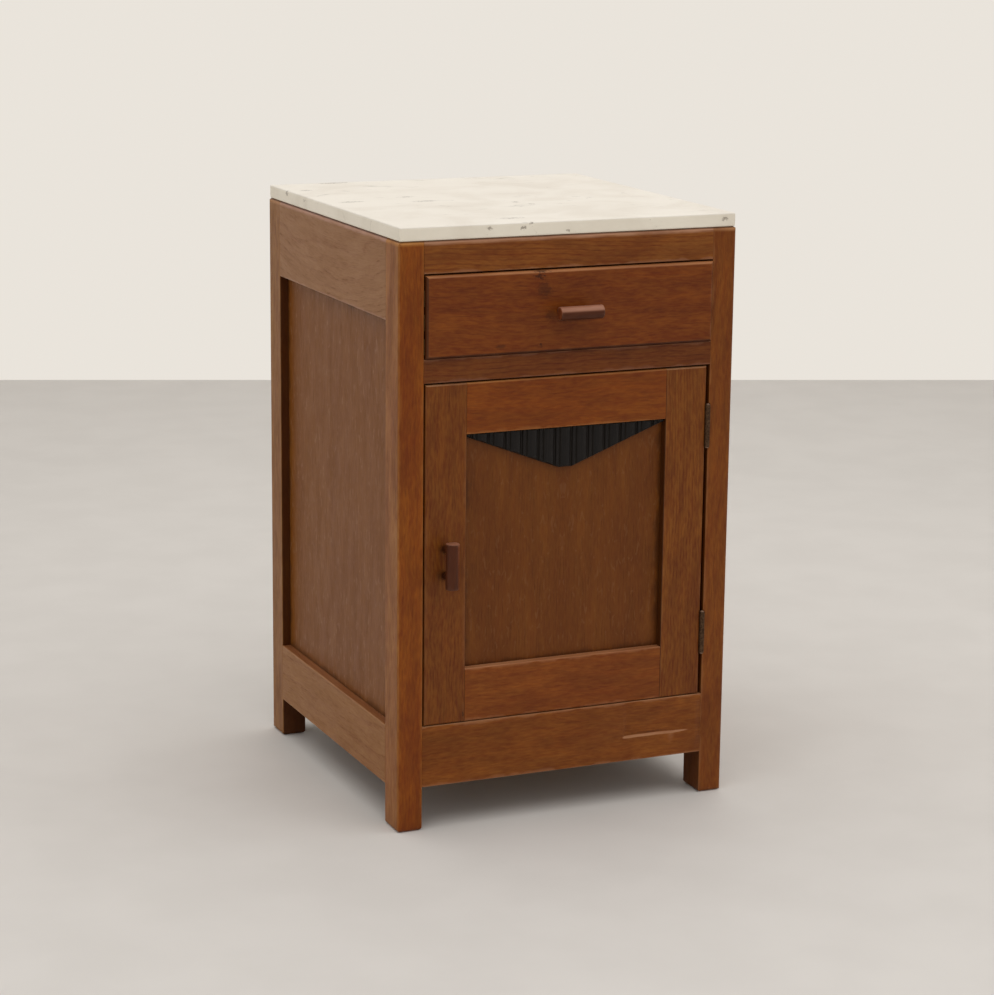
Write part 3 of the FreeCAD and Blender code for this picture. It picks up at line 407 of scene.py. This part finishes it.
# Side frames: a deep top rail and a lower rail of flat-sawn oak, tenoned into the legs, and a thin
# quarter-sawn oak panel that floats in grooves and shows short pale ray flecks.
for side, inward, along in (("left", 1.0, 6.0), ("right", -1.0, 8.3)):
    top_rail, bottom_rail = side + "_top_rail", side + "_bottom_rail"
    # Their tints are paler and greyer than those of the front pieces: painted side light and sheen; the
    # panel also gets painted shade along its sight.
    oak(top_rail, "deep", (inward * 0.05, along, 0.11), (0.012, 0.03, 0.0), ring=0.0052, lines=0.3,
        sag=0.6, streaks=0.05, fibres=0.12, flame=0.4, patchy=0.5, tint=(1.1, 1.28, 1.85))
    oak(bottom_rail, "deep", (inward * 0.05, along + 1.1, 0.1), (-0.01, 0.03, 0.0), ring=0.011,
        lines=0.25, flame=0.6, patchy=0.5, crest=0.3, tint=(1.08, 1.14, 1.16))
    low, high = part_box(side + "_side_panel")
    front_leg, rear_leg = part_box("front_" + side + "_leg"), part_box("rear_" + side + "_leg")
    sight_low = Vector((low.x, front_leg[1].y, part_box(bottom_rail)[1].z))
    sight_high = Vector((high.x, rear_leg[0].y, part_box(top_rail)[0].z))
    oak(side + "_side_panel", "upright", (0.01, 0.32, along), flecks=0.2, tint=(1.1, 1.4, 1.77),
        ring=0.003, fibres=0.22, flame=0.6, patchy=0.5, wear=0.0, sight=(sight_low, sight_high))

# Front rails: three oak rails between the front legs, above the drawer, below it and under the door,
# each tenoned into the legs. A long shallow gouge runs along the lower one, at its right.
rail_look = {"flame": 1.3, "streaks": 0.34, "fibres": 0.42, "patchy": 1.0}
oak("front_top_rail", "across", (10.2, 0.07, -0.05), (0.0, 0.03, 0.02), ring=0.006, lines=0.5,
    tint=(1.06, 1.17, 1.34), **(rail_look | {"flame": 2.2}))
oak("drawer_divider_rail", "across", (12.4, 0.09, 0.06), (0.0, 0.01, 0.01), ring=0.005, lines=0.35,
    tint=(0.76, 0.74, 0.84), **rail_look)
gouge_left, gouge_right, gouge_low = 0.078, 0.176, 0.0823
rail_low, rail_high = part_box("front_bottom_rail")
gouge_middle = 0.117
# The gouge's lip is lightened towards the worn colour: bare wood, and a painted highlight where the lip
# faces up.
gouge_lip = [((gouge_middle, rail_low.y, gouge_low + 0.0012), (0.05, 0.008, 0.0026))]
# Painted shade in the gouge's hollow, above its lip.
gouge_soil = [((gouge_middle, rail_low.y, gouge_low + 0.0041), (0.046, 0.008, 0.0019))]
low_rail_oak = oak("front_bottom_rail", "across", (14.1, 0.06, 0.05), (0.0, 0.02, 0.03), ring=0.006,
                   tint=(1.08, 1.13, 1.09), bare=gouge_lip, smudges=gouge_soil, **rail_look)


def deliver(shape, name, material, body, slot, *nodes):
    """Turn a finished shape into a piece that rides on a body and stands for the given nodes."""
    crease = math.radians(38.0)
    mesh = bpy.data.meshes.new(name)
    shape.to_mesh(mesh)
    shape.free()
    for polygon in mesh.polygons:
        polygon.use_smooth = True
    mesh.set_sharp_from_angle(angle=crease)
    mesh.materials.append(material)
    piece = bpy.data.objects.new(name, mesh)
    bpy.context.scene.collection.objects.link(piece)
    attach(piece, body)
    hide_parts(*nodes)
    return piece


def slice_along(shape, axis, places):
    """Cut every face where it crosses the given places along one axis, so that it can be shaped."""
    normal = Vector((0.0, 0.0, 0.0))
    normal[axis] = 1.0
    for place in places:
        everything = shape.verts[:] + shape.edges[:] + shape.faces[:]
        bmesh.ops.bisect_plane(shape, geom=everything, plane_co=normal * place, plane_no=normal)


def steps(start, end, count):
    return [start + (end - start) * index / count for index in range(1, count)]


def ramp(value, start, end):
    """0 before start, 1 after end and a smooth rise between them."""
    share = min(1.0, max(0.0, (value - start) / (end - start)))
    return share * share * (3.0 - 2.0 * share)


gouge_depth, lip_height, lip_wander, wander_scale = 0.0032, 0.0022, 0.0012, 45.0
left_run, taper_starts, rise_starts, rise_share = 0.006, 0.14, 0.004, 0.85
face_band, side_margin, eased_top = 0.002, 0.002, 0.004
lip_foot, lip_top, hollow_foot = gouge_low - 0.001, gouge_low + 0.007, gouge_low + 0.006
low_rail = bmesh.new()
low_rail.from_mesh(frame["nodes"]["front_bottom_rail"].data)
bmesh.ops.remove_doubles(low_rail, verts=low_rail.verts, dist=1e-6)
bmesh.ops.dissolve_limit(
    low_rail, angle_limit=math.radians(1.0), verts=low_rail.verts, edges=low_rail.edges
)
slice_along(low_rail, 0, steps(gouge_left - side_margin, gouge_right + side_margin, 50))
slice_along(low_rail, 2, steps(lip_foot, lip_top, 16))
slice_along(low_rail, 2, steps(hollow_foot, rail_high.z, 20))
for vert in low_rail.verts:
    if vert.co.y < rail_low.y + face_band:
        wander = lip_wander * noise.noise(Vector((vert.co.x * wander_scale, 0.0, 7.0)))
        sides = ramp(vert.co.x, gouge_left, gouge_left + left_run)
        sides *= ramp(vert.co.x, gouge_right, taper_starts)
        lip = ramp(vert.co.z + wander, gouge_low, gouge_low + lip_height)
        rise = 1.0 - rise_share * ramp(vert.co.z, gouge_low + rise_starts, rail_high.z - eased_top)
        vert.co.y += gouge_depth * sides * lip * rise
bmesh.ops.recalc_face_normals(low_rail, faces=low_rail.faces)
deliver(low_rail, "gouged_bottom_rail", low_rail_oak, "carcass", "oak", "front_bottom_rail")

# Back frame, cupboard floor and drawer carriage: plain planed softwood that does not show from the
# front, left unfinished inside and stained thin on the back.
SOFTWOOD = [(0.50, 0.32, 0.16), (0.36, 0.2, 0.085), (0.26, 0.13, 0.05), (0.56, 0.38, 0.21)]
BACKWOOD = [(0.2, 0.085, 0.028), (0.12, 0.045, 0.014), (0.05, 0.018, 0.007), (0.3, 0.15, 0.06)]


def plain_wood(node, grain, pith, colours=SOFTWOOD, **look):
    low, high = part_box(node)
    finish_node(node, wood(node + "_plain", low, high, grain, pith, (0.0, 0.012, 0.01), colours, **look))


plain_wood("back_top_rail", "across", (15.5, -0.08, 0.05), BACKWOOD)
plain_wood("back_bottom_rail", "across", (16.6, -0.08, -0.05), BACKWOOD)
plain_wood("back_panel", "upright", (0.05, -0.07, 17.2), BACKWOOD, ring=0.006)
plain_wood("cupboard_floor", "across", (18.3, 0.1, -0.08), ring=0.005)
plain_wood("drawer_stops", "across", (19.4, 0.05, 0.05))
plain_wood("door_stop", "across", (20.1, 0.05, 0.05))
for side, along in (("left", 21.0), ("right", 25.0)):
    plain_wood(side + "_floor_cleat", "deep", (0.06, along, 0.05))
    plain_wood(side + "_drawer_runner", "deep", (0.05, along + 0.7, 0.06))
    plain_wood(side + "_drawer_guide", "deep", (0.05, along + 1.6, 0.06))
    plain_wood(side + "_drawer_kicker", "deep", (0.05, along + 2.5, 0.06))

# Marble top: a pale honed slab that lies loose on the carcass, sawn square with its edges eased by hand.
# The edges are slightly uneven, and a few small grey pits show along the front.
slab_low, slab_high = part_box("marble_top")
slab_middle = (slab_low + slab_high) / 2


def box_mesh(low, high):
    shape = bmesh.new()
    bmesh.ops.create_cube(shape, size=1.0)
    bmesh.ops.scale(shape, vec=high - low, verts=shape.verts)
    bmesh.ops.translate(shape, vec=(low + high) / 2, verts=shape.verts)
    return shape


def round_edges(shape, edges, radius, segments):
    bmesh.ops.bevel(
        shape, geom=edges, offset=radius, segments=segments, profile=0.5, affect="EDGES", material=-1
    )


eased_radius, edge_band, edge_waste, coarse_saw, fine_saw = 0.0016, 0.004, 0.0005, 70.0, 260.0
pit_depth, pit_stretch = 0.0008, 1.5
slab = box_mesh(slab_low, slab_high)
round_edges(slab, slab.edges[:], eased_radius, 3)
for axis, parts in ((0, 180), (1, 120), (2, 8)):
    slice_along(slab, axis, steps(slab_low[axis], slab_high[axis], parts))
# Each pit in the front edge: how far along it is, how high, and its radius.
PITS = [
    (-0.0615, 0.7138, 0.003),
    (-0.104, 0.715, 0.0026),
    (-0.051, 0.719, 0.0024),
    (0.2005, 0.713, 0.0032),
    (-0.0045, 0.7078, 0.002),
]
for vert in slab.verts:
    edge_x = min(vert.co.x - slab_low.x, slab_high.x - vert.co.x)
    edge_y = min(vert.co.y - slab_low.y, slab_high.y - vert.co.y)
    nearness = max(0.0, 1.0 - min(edge_x, edge_y) / edge_band)
    rough = 0.5 + 0.5 * noise.noise(vert.co * coarse_saw) + 0.35 * noise.noise(vert.co * fine_saw)
    inward = edge_waste * nearness * max(0.0, rough)
    depth = 0.0
    for x, z, radius in PITS:
        depth = max(depth, 1.0 - math.hypot((vert.co.x - x) / pit_stretch, vert.co.z - z) / radius)
    if edge_x < edge_band:
        vert.co.x += inward if vert.co.x < slab_middle.x else -inward
    if edge_y < edge_band:
        vert.co.y += inward + pit_depth * depth if vert.co.y < slab_middle.y else -inward

marble, tree, shader = new_material("honed_marble", Specular_IOR_Level=0.4)
place = object_place(tree)
clouds = fade(tree, cloud(tree, place, (11.0, 11.0, 11.0), detail=6.0, distortion=0.6), 0.35, 0.7)
cream, buff = (0.80, 0.755, 0.68, 1.0), (0.72, 0.67, 0.595, 1.0)
vein_grey, speck_grey = (0.38, 0.34, 0.29, 1.0), (0.5, 0.45, 0.39, 1.0)
stain_grey, sawn_tone = (0.3, 0.26, 0.22, 1.0), (1.1, 1.075, 1.01, 1.0)
pit_stain, scar_stain, stain_stretch, stain_depth, scar_width = 0.85, 0.7, 1.6, 0.004, 0.0065
colour = mix_colours(tree, clouds, cream, buff)
drift = cloud(tree, place, (5.0, 14.0, 14.0), detail=7.0, distortion=1.2)
drift = number(tree, "ABSOLUTE", number(tree, "SUBTRACT", drift, 0.5))
broken = fade(tree, cloud(tree, place, (22.0, 30.0, 30.0), detail=3.0), 0.54, 0.66)
veins = number(tree, "MULTIPLY", fade(tree, drift, 0.0, 0.012, 0.6, 0.0), broken)
colour = mix_colours(tree, veins, colour, vein_grey)
specks = fade(tree, cloud(tree, place, (210.0, 210.0, 210.0), detail=2.0), 0.7, 0.76, 0.0, 0.4)
colour = mix_colours(tree, specks, colour, speck_grey)
pit_marks = [((x, slab_low.y, z), (stain_stretch * radius, stain_depth, radius)) for x, z, radius in PITS]
left_pit = ((slab_low.x, 0.176, 0.7175), (0.004, 0.006, 0.004))
# Each scar on the top: its place and half its length.
SCARS = [
    (-0.13, 0.234, 0.024),
    (-0.192, 0.169, 0.009),
    (-0.18, 0.04, 0.02),
    (-0.092, 0.02, 0.02),
    (-0.099, 0.066, 0.012),
    (-0.058, -0.164, 0.018),
    (0.02, -0.049, 0.007),
    (0.009, -0.024, 0.005),
]
scar_marks = [((x, y, slab_high.z), (half, scar_width, stain_depth)) for x, y, half in SCARS]
stained = number(tree, "MULTIPLY", spot_mask(tree, place, pit_marks + [left_pit]), pit_stain)
stained = number(tree, "MULTIPLY_ADD", spot_mask(tree, place, scar_marks), scar_stain, stained)
colour = mix_colours(tree, stained, colour, stain_grey)
# Painted light: the slab's side faces are made paler than its top.
sawn_edge = number(tree, "SUBTRACT", 1.0, faces_toward(tree, (0.0, 0.0, 1.0)))
colour = mix_colours(tree, sawn_edge, colour, sawn_tone, blend="MULTIPLY")
tree.links.new(colour, shader.inputs["Base Color"])
tree.links.new(fade(tree, clouds, 0.0, 1.0, 0.38, 0.5), shader.inputs["Roughness"])
ripple = cloud(tree, place, (160.0, 160.0, 160.0), detail=4.0)
bump = add_node(tree, "Bump", {"Height": ripple, "Strength": 0.12, "Distance": 0.0004})
tree.links.new(bump.outputs["Normal"], shader.inputs["Normal"])
deliver(slab, "marble_slab", marble, "carcass", "marble", "marble_top")

# Drawer: an oak front with rounded edges that stands proud of the rails, lap-dovetailed softwood sides,
# a housed back, and a thin bottom slid into grooves and screwed up into the back.
drawer_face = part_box("drawer_front")[0].y
# Each mark, smudge or painted shadow: how far across it is, how high, and its half width and half height.
DRAWER_MARKS = [
    (-0.0428, 0.6575, 0.008, 0.0038),
    (-0.04, 0.6636, 0.013, 0.0026),
    (-0.0403, 0.5771, 0.002, 0.0036),
]
# The first two smudges are stains; the last two are the pull's painted shadow, to the left of its bar and
# under it.
DRAWER_SMUDGES = [
    (-0.0911, 0.5778, 0.009, 0.004),
    (-0.0362, 0.642, 0.013, 0.012),
    (-0.028, 0.612, 0.01, 0.009),
    (0.0, 0.606, 0.026, 0.006),
]


def on_front(face, spots):
    """Spots on a face that looks forward, each given as its place and its half width and height."""
    spot_depth = 0.006
    return [((x, face, z), (wide, spot_depth, tall)) for x, z, wide, tall in spots]


# The front's left and bottom edges get painted shade, for the gaps beside and below it.
oak("drawer_front", "across", (28.0, 0.075, -0.06), (0.0, 0.02, 0.015), ring=0.005, flame=1.5,
    streaks=0.42, fibres=0.5, crest=0.95, tint=(0.9, 0.78, 0.56),
    dirty=(-1.0, 0.0, -1.0), marks=on_front(drawer_face, DRAWER_MARKS),
    smudges=on_front(drawer_face, DRAWER_SMUDGES))
# The sides' outer faces get painted shade, for the gaps they show through.
for side, along, outward in (("left", 29.0, (-1.0, 0.0, 0.0)), ("right", 30.2, (1.0, 0.0, 0.0))):
    plain_wood("drawer_" + side + "_side", "deep", (0.12, along, 0.06), dirty=outward, dirt=0.5)
plain_wood("drawer_back", "across", (31.0, 0.1, 0.05))
plain_wood("drawer_bottom", "across", (32.0, 0.2, 0.05), ring=0.006)

# Pulls: a turned bar of dark reddish hardwood with a flat planed along its back, on two short turned
# posts, screwed on from behind. One lies across the drawer, the other stands on the door's lock stile.
PULL = [(0.215, 0.054, 0.0145), (0.095, 0.0175, 0.003), (0.031, 0.0065, 0.0012), (0.38, 0.19, 0.125)]


def pull(owner, grain, along, long_axis, grubby):
    """A bar and its posts; grubby is the way of the faces that get painted shade."""
    bar_node, post_node = owner + "_pull_bar", owner + "_pull_posts"
    low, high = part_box(bar_node)
    size = high - low
    radius = size[2 - long_axis] / 2
    rim_radius, sharp_rim = 0.0011, math.radians(25.0)
    bar = bmesh.new()
    bmesh.ops.create_cone(
        bar, cap_ends=True, segments=48, radius1=radius, radius2=radius, depth=size[long_axis]
    )
    if grain == "across":
        bmesh.ops.rotate(bar, matrix=Matrix.Rotation(math.radians(90.0), 3, "Y"), verts=bar.verts)
    middle = (low + high) / 2
    bmesh.ops.translate(bar, vec=(middle.x, low.y + radius, middle.z), verts=bar.verts)
    everything = bar.verts[:] + bar.edges[:] + bar.faces[:]
    backward = Vector((0.0, 1.0, 0.0))
    bmesh.ops.bisect_plane(
        bar, geom=everything, plane_co=backward * high.y, plane_no=backward, clear_outer=True
    )
    bmesh.ops.holes_fill(bar, edges=[edge for edge in bar.edges if edge.is_boundary])
    rims = [edge for edge in bar.edges if edge.calc_face_angle(0.0) > sharp_rim]
    round_edges(bar, rims, rim_radius, 3)
    pith, lean = (along, along, along), (0.0, 0.02, 0.0)
    # The bar's top is lightened as a painted highlight, and its faces turned from the light get painted
    # shade.
    look = {"ring": 0.002, "crest": 0.72, "dirty": grubby, "dirt": 0.7, "flame": 1.8, "patchy": 2.0}
    bar_wood = wood(owner + "_pull_wood", low, high, grain, pith, lean, PULL, **look)
    deliver(bar, owner + "_pull_grip", bar_wood, owner, "pull_wood", bar_node)
    post_low, post_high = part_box(post_node)
    # The posts are the pull wood darkened to a third: painted shade for their place behind the bar.
    post_wood = wood(owner + "_post_wood", post_low, post_high, "deep", pith, lean, PULL, ring=0.002,
                     wear=0.0, crest=0.0, tint=(0.3, 0.3, 0.3))
    finish_node(post_node, post_wood)


pull("drawer", "across", 33.0, 0, (0.0, -0.6, -0.8))
pull("door", "upright", 35.0, 2, (-0.5, -0.7, -0.5))

# Door: oak stiles and rails tenoned together round a panel of mirrored quarter-sawn veneer that lies
# back from the frame.
stile_look = {"tint": (0.91, 0.965, 0.88), "streaks": 0.36, "fibres": 0.58, "flame": 1.0, "patchy": 0.9,
              "wear": 0.12, "ring": 0.004}
door_low, door_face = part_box("door_lock_stile")[0].z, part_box("door_lock_stile")[0].y
stile_crack = on_front(door_face, [(-0.1328, door_low + 0.009, 0.0012, 0.007)])
# Painted shadow on the stile around the door pull's posts.
pull_post_soil = on_front(door_face, [(-0.161, 0.343, 0.008, 0.007), (-0.161, 0.311, 0.008, 0.009)])
oak("door_lock_stile", "upright", (0.26, 0.04, 36.0), (0.0, 0.01, 0.0), marks=stile_crack,
    smudges=pull_post_soil, lines=0.24, **stile_look)
# The hinge stile's left-facing reveal gets painted shade.
oak("door_hinge_stile", "upright", (-0.24, 0.05, 37.0), (0.0, -0.01, 0.0), dirty=(-1.0, 0.0, 0.0),
    lines=0.5, **(stile_look | {"flame": 2.1}))
oak("door_top_rail", "across", (38.0, 0.09, 0.08), (0.0, 0.02, 0.0), ring=0.005, tint=(1.05, 0.93, 0.51),
    **rail_look)
oak("door_bottom_rail", "across", (39.0, 0.07, -0.05), (0.0, 0.02, 0.02), ring=0.006,
    tint=(1.1, 1.06, 0.96), **rail_look)
panel_low, panel_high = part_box("door_panel")
sight_low = Vector((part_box("door_lock_stile")[1].x, panel_low.y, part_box("door_bottom_rail")[1].z))
sight_high = Vector((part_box("door_hinge_stile")[0].x, panel_high.y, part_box("door_top_rail")[0].z))
# The panel gets painted shade along its sight edges.
oak("door_panel", "upright", (0.2, 0.03, 40.0), ring=0.004, tint=(0.8, 0.865, 0.72), flecks=0.12,
    wear=0.0, patchy=0.7, mirror=(panel_low.x + panel_high.x) / 2, sight=(sight_low, sight_high))

# Ornament: a shallow drop of black-stained wood glued on the panel under the top rail, carved in upright
# ribs with a thin bead between each two, and bevelled along its lower edges.
black, tree, shader = new_material("black_stained_wood", Specular_IOR_Level=0.2)
place = object_place(tree)
fibres = fade(tree, cloud(tree, place, (900.0, 900.0, 14.0), detail=3.0), *SPREAD)
deep_black, soft_black = (0.005, 0.0038, 0.0032, 1.0), (0.011, 0.008, 0.0065, 1.0)
colour = mix_colours(tree, fibres, deep_black, soft_black)
rib_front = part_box("door_ornament")[0].y
# Paler towards the back of the carving: dust in its hollows, and painted fill light that eases their
# shade.
dust_starts, dust_full, most_dust = rib_front + 0.0012, rib_front + 0.0036, 0.55
depth = add_node(tree, "SeparateXYZ", {0: place}).outputs["Y"]
dusty = fade(tree, depth, dust_starts, dust_full, 0.0, most_dust)
dust = (0.02, 0.0155, 0.012, 1.0)
colour = mix_colours(tree, dusty, colour, dust)
tree.links.new(colour, shader.inputs["Base Color"])
tree.links.new(fade(tree, fibres, 0.0, 1.0, 0.34, 0.5), shader.inputs["Roughness"])
finish_node("door_ornament", black)

# Hinges and ball catch: two butt hinges of dark patinated steel with countersunk screws, and a small
# sprung brass catch let into the lock stile's edge with its plate on the leg.


def metal(name, clean, dulled, scale, detail, least_rough, most_rough, **constants):
    """Metal with dulled patches; scale is the number of patches per metre."""
    material, tree, shader = new_material(name, **constants)
    patches = cloud(tree, object_place(tree), (scale, scale, scale), detail=detail)
    patches = fade(tree, patches, 0.35, 0.7)
    colour = mix_colours(tree, patches, clean, dulled)
    tree.links.new(colour, shader.inputs["Base Color"])
    tree.links.new(fade(tree, patches, 0.0, 1.0, least_rough, most_rough), shader.inputs["Roughness"])
    return material


patinated = {"Metallic": 0.6, "Specular_IOR_Level": 0.1}
steel = metal("dark_patinated_steel", (0.1, 0.056, 0.03, 1.0), (0.045, 0.023, 0.012, 1.0), 420.0, 5.0,
              0.36, 0.6, **patinated)
brass = metal("dulled_brass", (0.55, 0.38, 0.15, 1.0), (0.3, 0.19, 0.08, 1.0), 300.0, 4.0, 0.28, 0.5,
              Metallic=1.0)
pin_steel = metal("rubbed_pin_steel", (0.36, 0.23, 0.16, 1.0), (0.2, 0.12, 0.08, 1.0), 600.0, 3.0,
                  0.3, 0.5, **patinated)
METAL = {"dark_steel": steel, "brass": brass}
for part in frame["record"]["subparts"]:
    if part["material_slot"] in METAL:
        finish_node(part["node"], METAL[part["material_slot"]])
for rubbed_node in ("upper_hinge_pin", "lower_hinge_pin", "catch_ball"):
    finish_node(rubbed_node, pin_steel)

# Catch spring: six turns of steel wire between the ball and the closed end of the barrel.
spring_low, spring_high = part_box("catch_spring")
spring_turns, turn_steps, wire_radius = 6, 24, 0.00025
spring_length = spring_high.x - spring_low.x
coil_radius = (spring_high.z - spring_low.z) / 2 - wire_radius
coil_steps = spring_turns * turn_steps
coil_advance = (spring_length - 2 * wire_radius) / coil_steps
coil_start = (spring_low + spring_high) / 2
coil_start.x = spring_low.x + wire_radius
coil = bmesh.new()
bmesh.ops.create_circle(coil, radius=wire_radius, segments=10)
bmesh.ops.rotate(coil, matrix=Matrix.Rotation(math.radians(90.0), 3, "X"), verts=coil.verts)
bmesh.ops.translate(coil, vec=coil_start + Vector((0.0, 0.0, coil_radius)), verts=coil.verts)
bmesh.ops.spin(
    coil, geom=coil.verts[:] + coil.edges[:], cent=coil_start, axis=(1.0, 0.0, 0.0), steps=coil_steps,
    dvec=(coil_advance, 0.0, 0.0), angle=math.radians(360.0) * spring_turns
)
bmesh.ops.holes_fill(coil, edges=[edge for edge in coil.edges if edge.is_boundary])
bmesh.ops.recalc_face_normals(coil, faces=coil.faces)
spring = deliver(coil, "catch_coil", pin_steel, "door", "dark_steel", "catch_spring")
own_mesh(spring)

# Studio: a plain pale floor, a plain off-white backdrop well behind, one large soft lamp overhead and an
# even white surround.


def flat_sheet(name, corners, material):
    shape = bmesh.new()
    shape.faces.new([shape.verts.new(corner) for corner in corners])
    mesh = bpy.data.meshes.new(name)
    shape.to_mesh(mesh)
    shape.free()
    mesh.materials.append(material)
    sheet = bpy.data.objects.new(name, mesh)
    bpy.context.scene.collection.objects.link(sheet)


floor_paint, tree, shader = new_material("pale_floor", Roughness=0.6, Specular_IOR_Level=0.2)
place = object_place(tree)
mottle = fade(tree, cloud(tree, place, (8.0, 8.0, 8.0), detail=6.0), *SPREAD)
colour = mix_colours(tree, mottle, (0.695, 0.67, 0.645, 1.0), (0.67, 0.645, 0.62, 1.0))
tree.links.new(colour, shader.inputs["Base Color"])
wall_paint, tree, shader = new_material("off_white_backdrop", Roughness=0.9)
shader.inputs["Base Color"].default_value = (0.8, 0.77, 0.72, 1.0)
shine = add_node(tree, "Emission", {"Color": (0.82, 0.775, 0.71, 1.0), "Strength": 1.0})
rays = add_node(tree, "LightPath").outputs
seen = number(tree, "MAXIMUM", rays["Is Camera Ray"], rays["Is Glossy Ray"])
seen = number(tree, "MAXIMUM", seen, rays["Is Transmission Ray"])
shown = add_node(tree, "MixShader", {0: seen, 1: shader.outputs[0], 2: shine.outputs[0]})
tree.links.new(shown.outputs[0], tree.nodes["Material Output"].inputs["Surface"])

camera_place = Vector((-1.3727, -3.1118, 1.1286))
yaw, pitch, roll = math.radians(23.79), math.radians(12.95), math.radians(0.609)
level = Vector((math.sin(yaw), math.cos(yaw), 0.0))
sideways = Vector((math.cos(yaw), -math.sin(yaw), 0.0))
wall_distance, stage_half, wall_height, stage_front = 6.07, 9.0, 5.0, 6.0
wall_turn = Matrix.Rotation(math.radians(3.32), 3, "Z")
ground = Vector((camera_place.x, camera_place.y, 0.0))
wall_foot = ground + level * wall_distance
wall_run = wall_turn @ sideways * stage_half
near = ground - level * stage_front
rise = Vector((0.0, 0.0, wall_height))
back_left, back_right = wall_foot - wall_run, wall_foot + wall_run
flat_sheet("floor", [near - wall_run, near + wall_run, back_right, back_left], floor_paint)
flat_sheet("backdrop", [back_left, back_right, back_right + rise, back_left + rise], wall_paint)

world = bpy.data.worlds.new("white_surround")
world.use_nodes = True
world.node_tree.nodes["Background"].inputs["Color"].default_value = (1.0, 0.985, 0.96, 1.0)
world.node_tree.nodes["Background"].inputs["Strength"].default_value = 0.6
bpy.context.scene.world = world
lamp = bpy.data.lights.new("overhead_softbox", "AREA")
lamp.shape = "RECTANGLE"
lamp.size = 5.0
lamp.size_y = 5.0
lamp.energy = 80.0
lamp.color = (1.0, 0.97, 0.93)
softbox = bpy.data.objects.new("overhead_softbox", lamp)
softbox.location = (0.1, -0.6, 3.2)
bpy.context.scene.collection.objects.link(softbox)

# Camera: a long lens at the photograph's viewing angle, to the front left of the object and a little
# above it, turned very slightly about its own axis.
forward = level * math.cos(pitch) - Vector((0.0, 0.0, math.sin(pitch)))
upward = sideways.cross(forward)
right = sideways * math.cos(roll) + upward * math.sin(roll)
top = upward * math.cos(roll) - sideways * math.sin(roll)
lens_data = bpy.data.cameras.new("camera")
lens_data.sensor_fit = "HORIZONTAL"
lens_data.sensor_width = 36.0
lens_data.lens = 100.84
camera = bpy.data.objects.new("camera", lens_data)
turn = Matrix((right, top, -forward)).transposed()
camera.matrix_world = Matrix.Translation(camera_place) @ turn.to_4x4()
bpy.context.scene.collection.objects.link(camera)
bpy.context.scene.camera = camera
bpy.context.scene.view_settings.view_transform = "Standard"
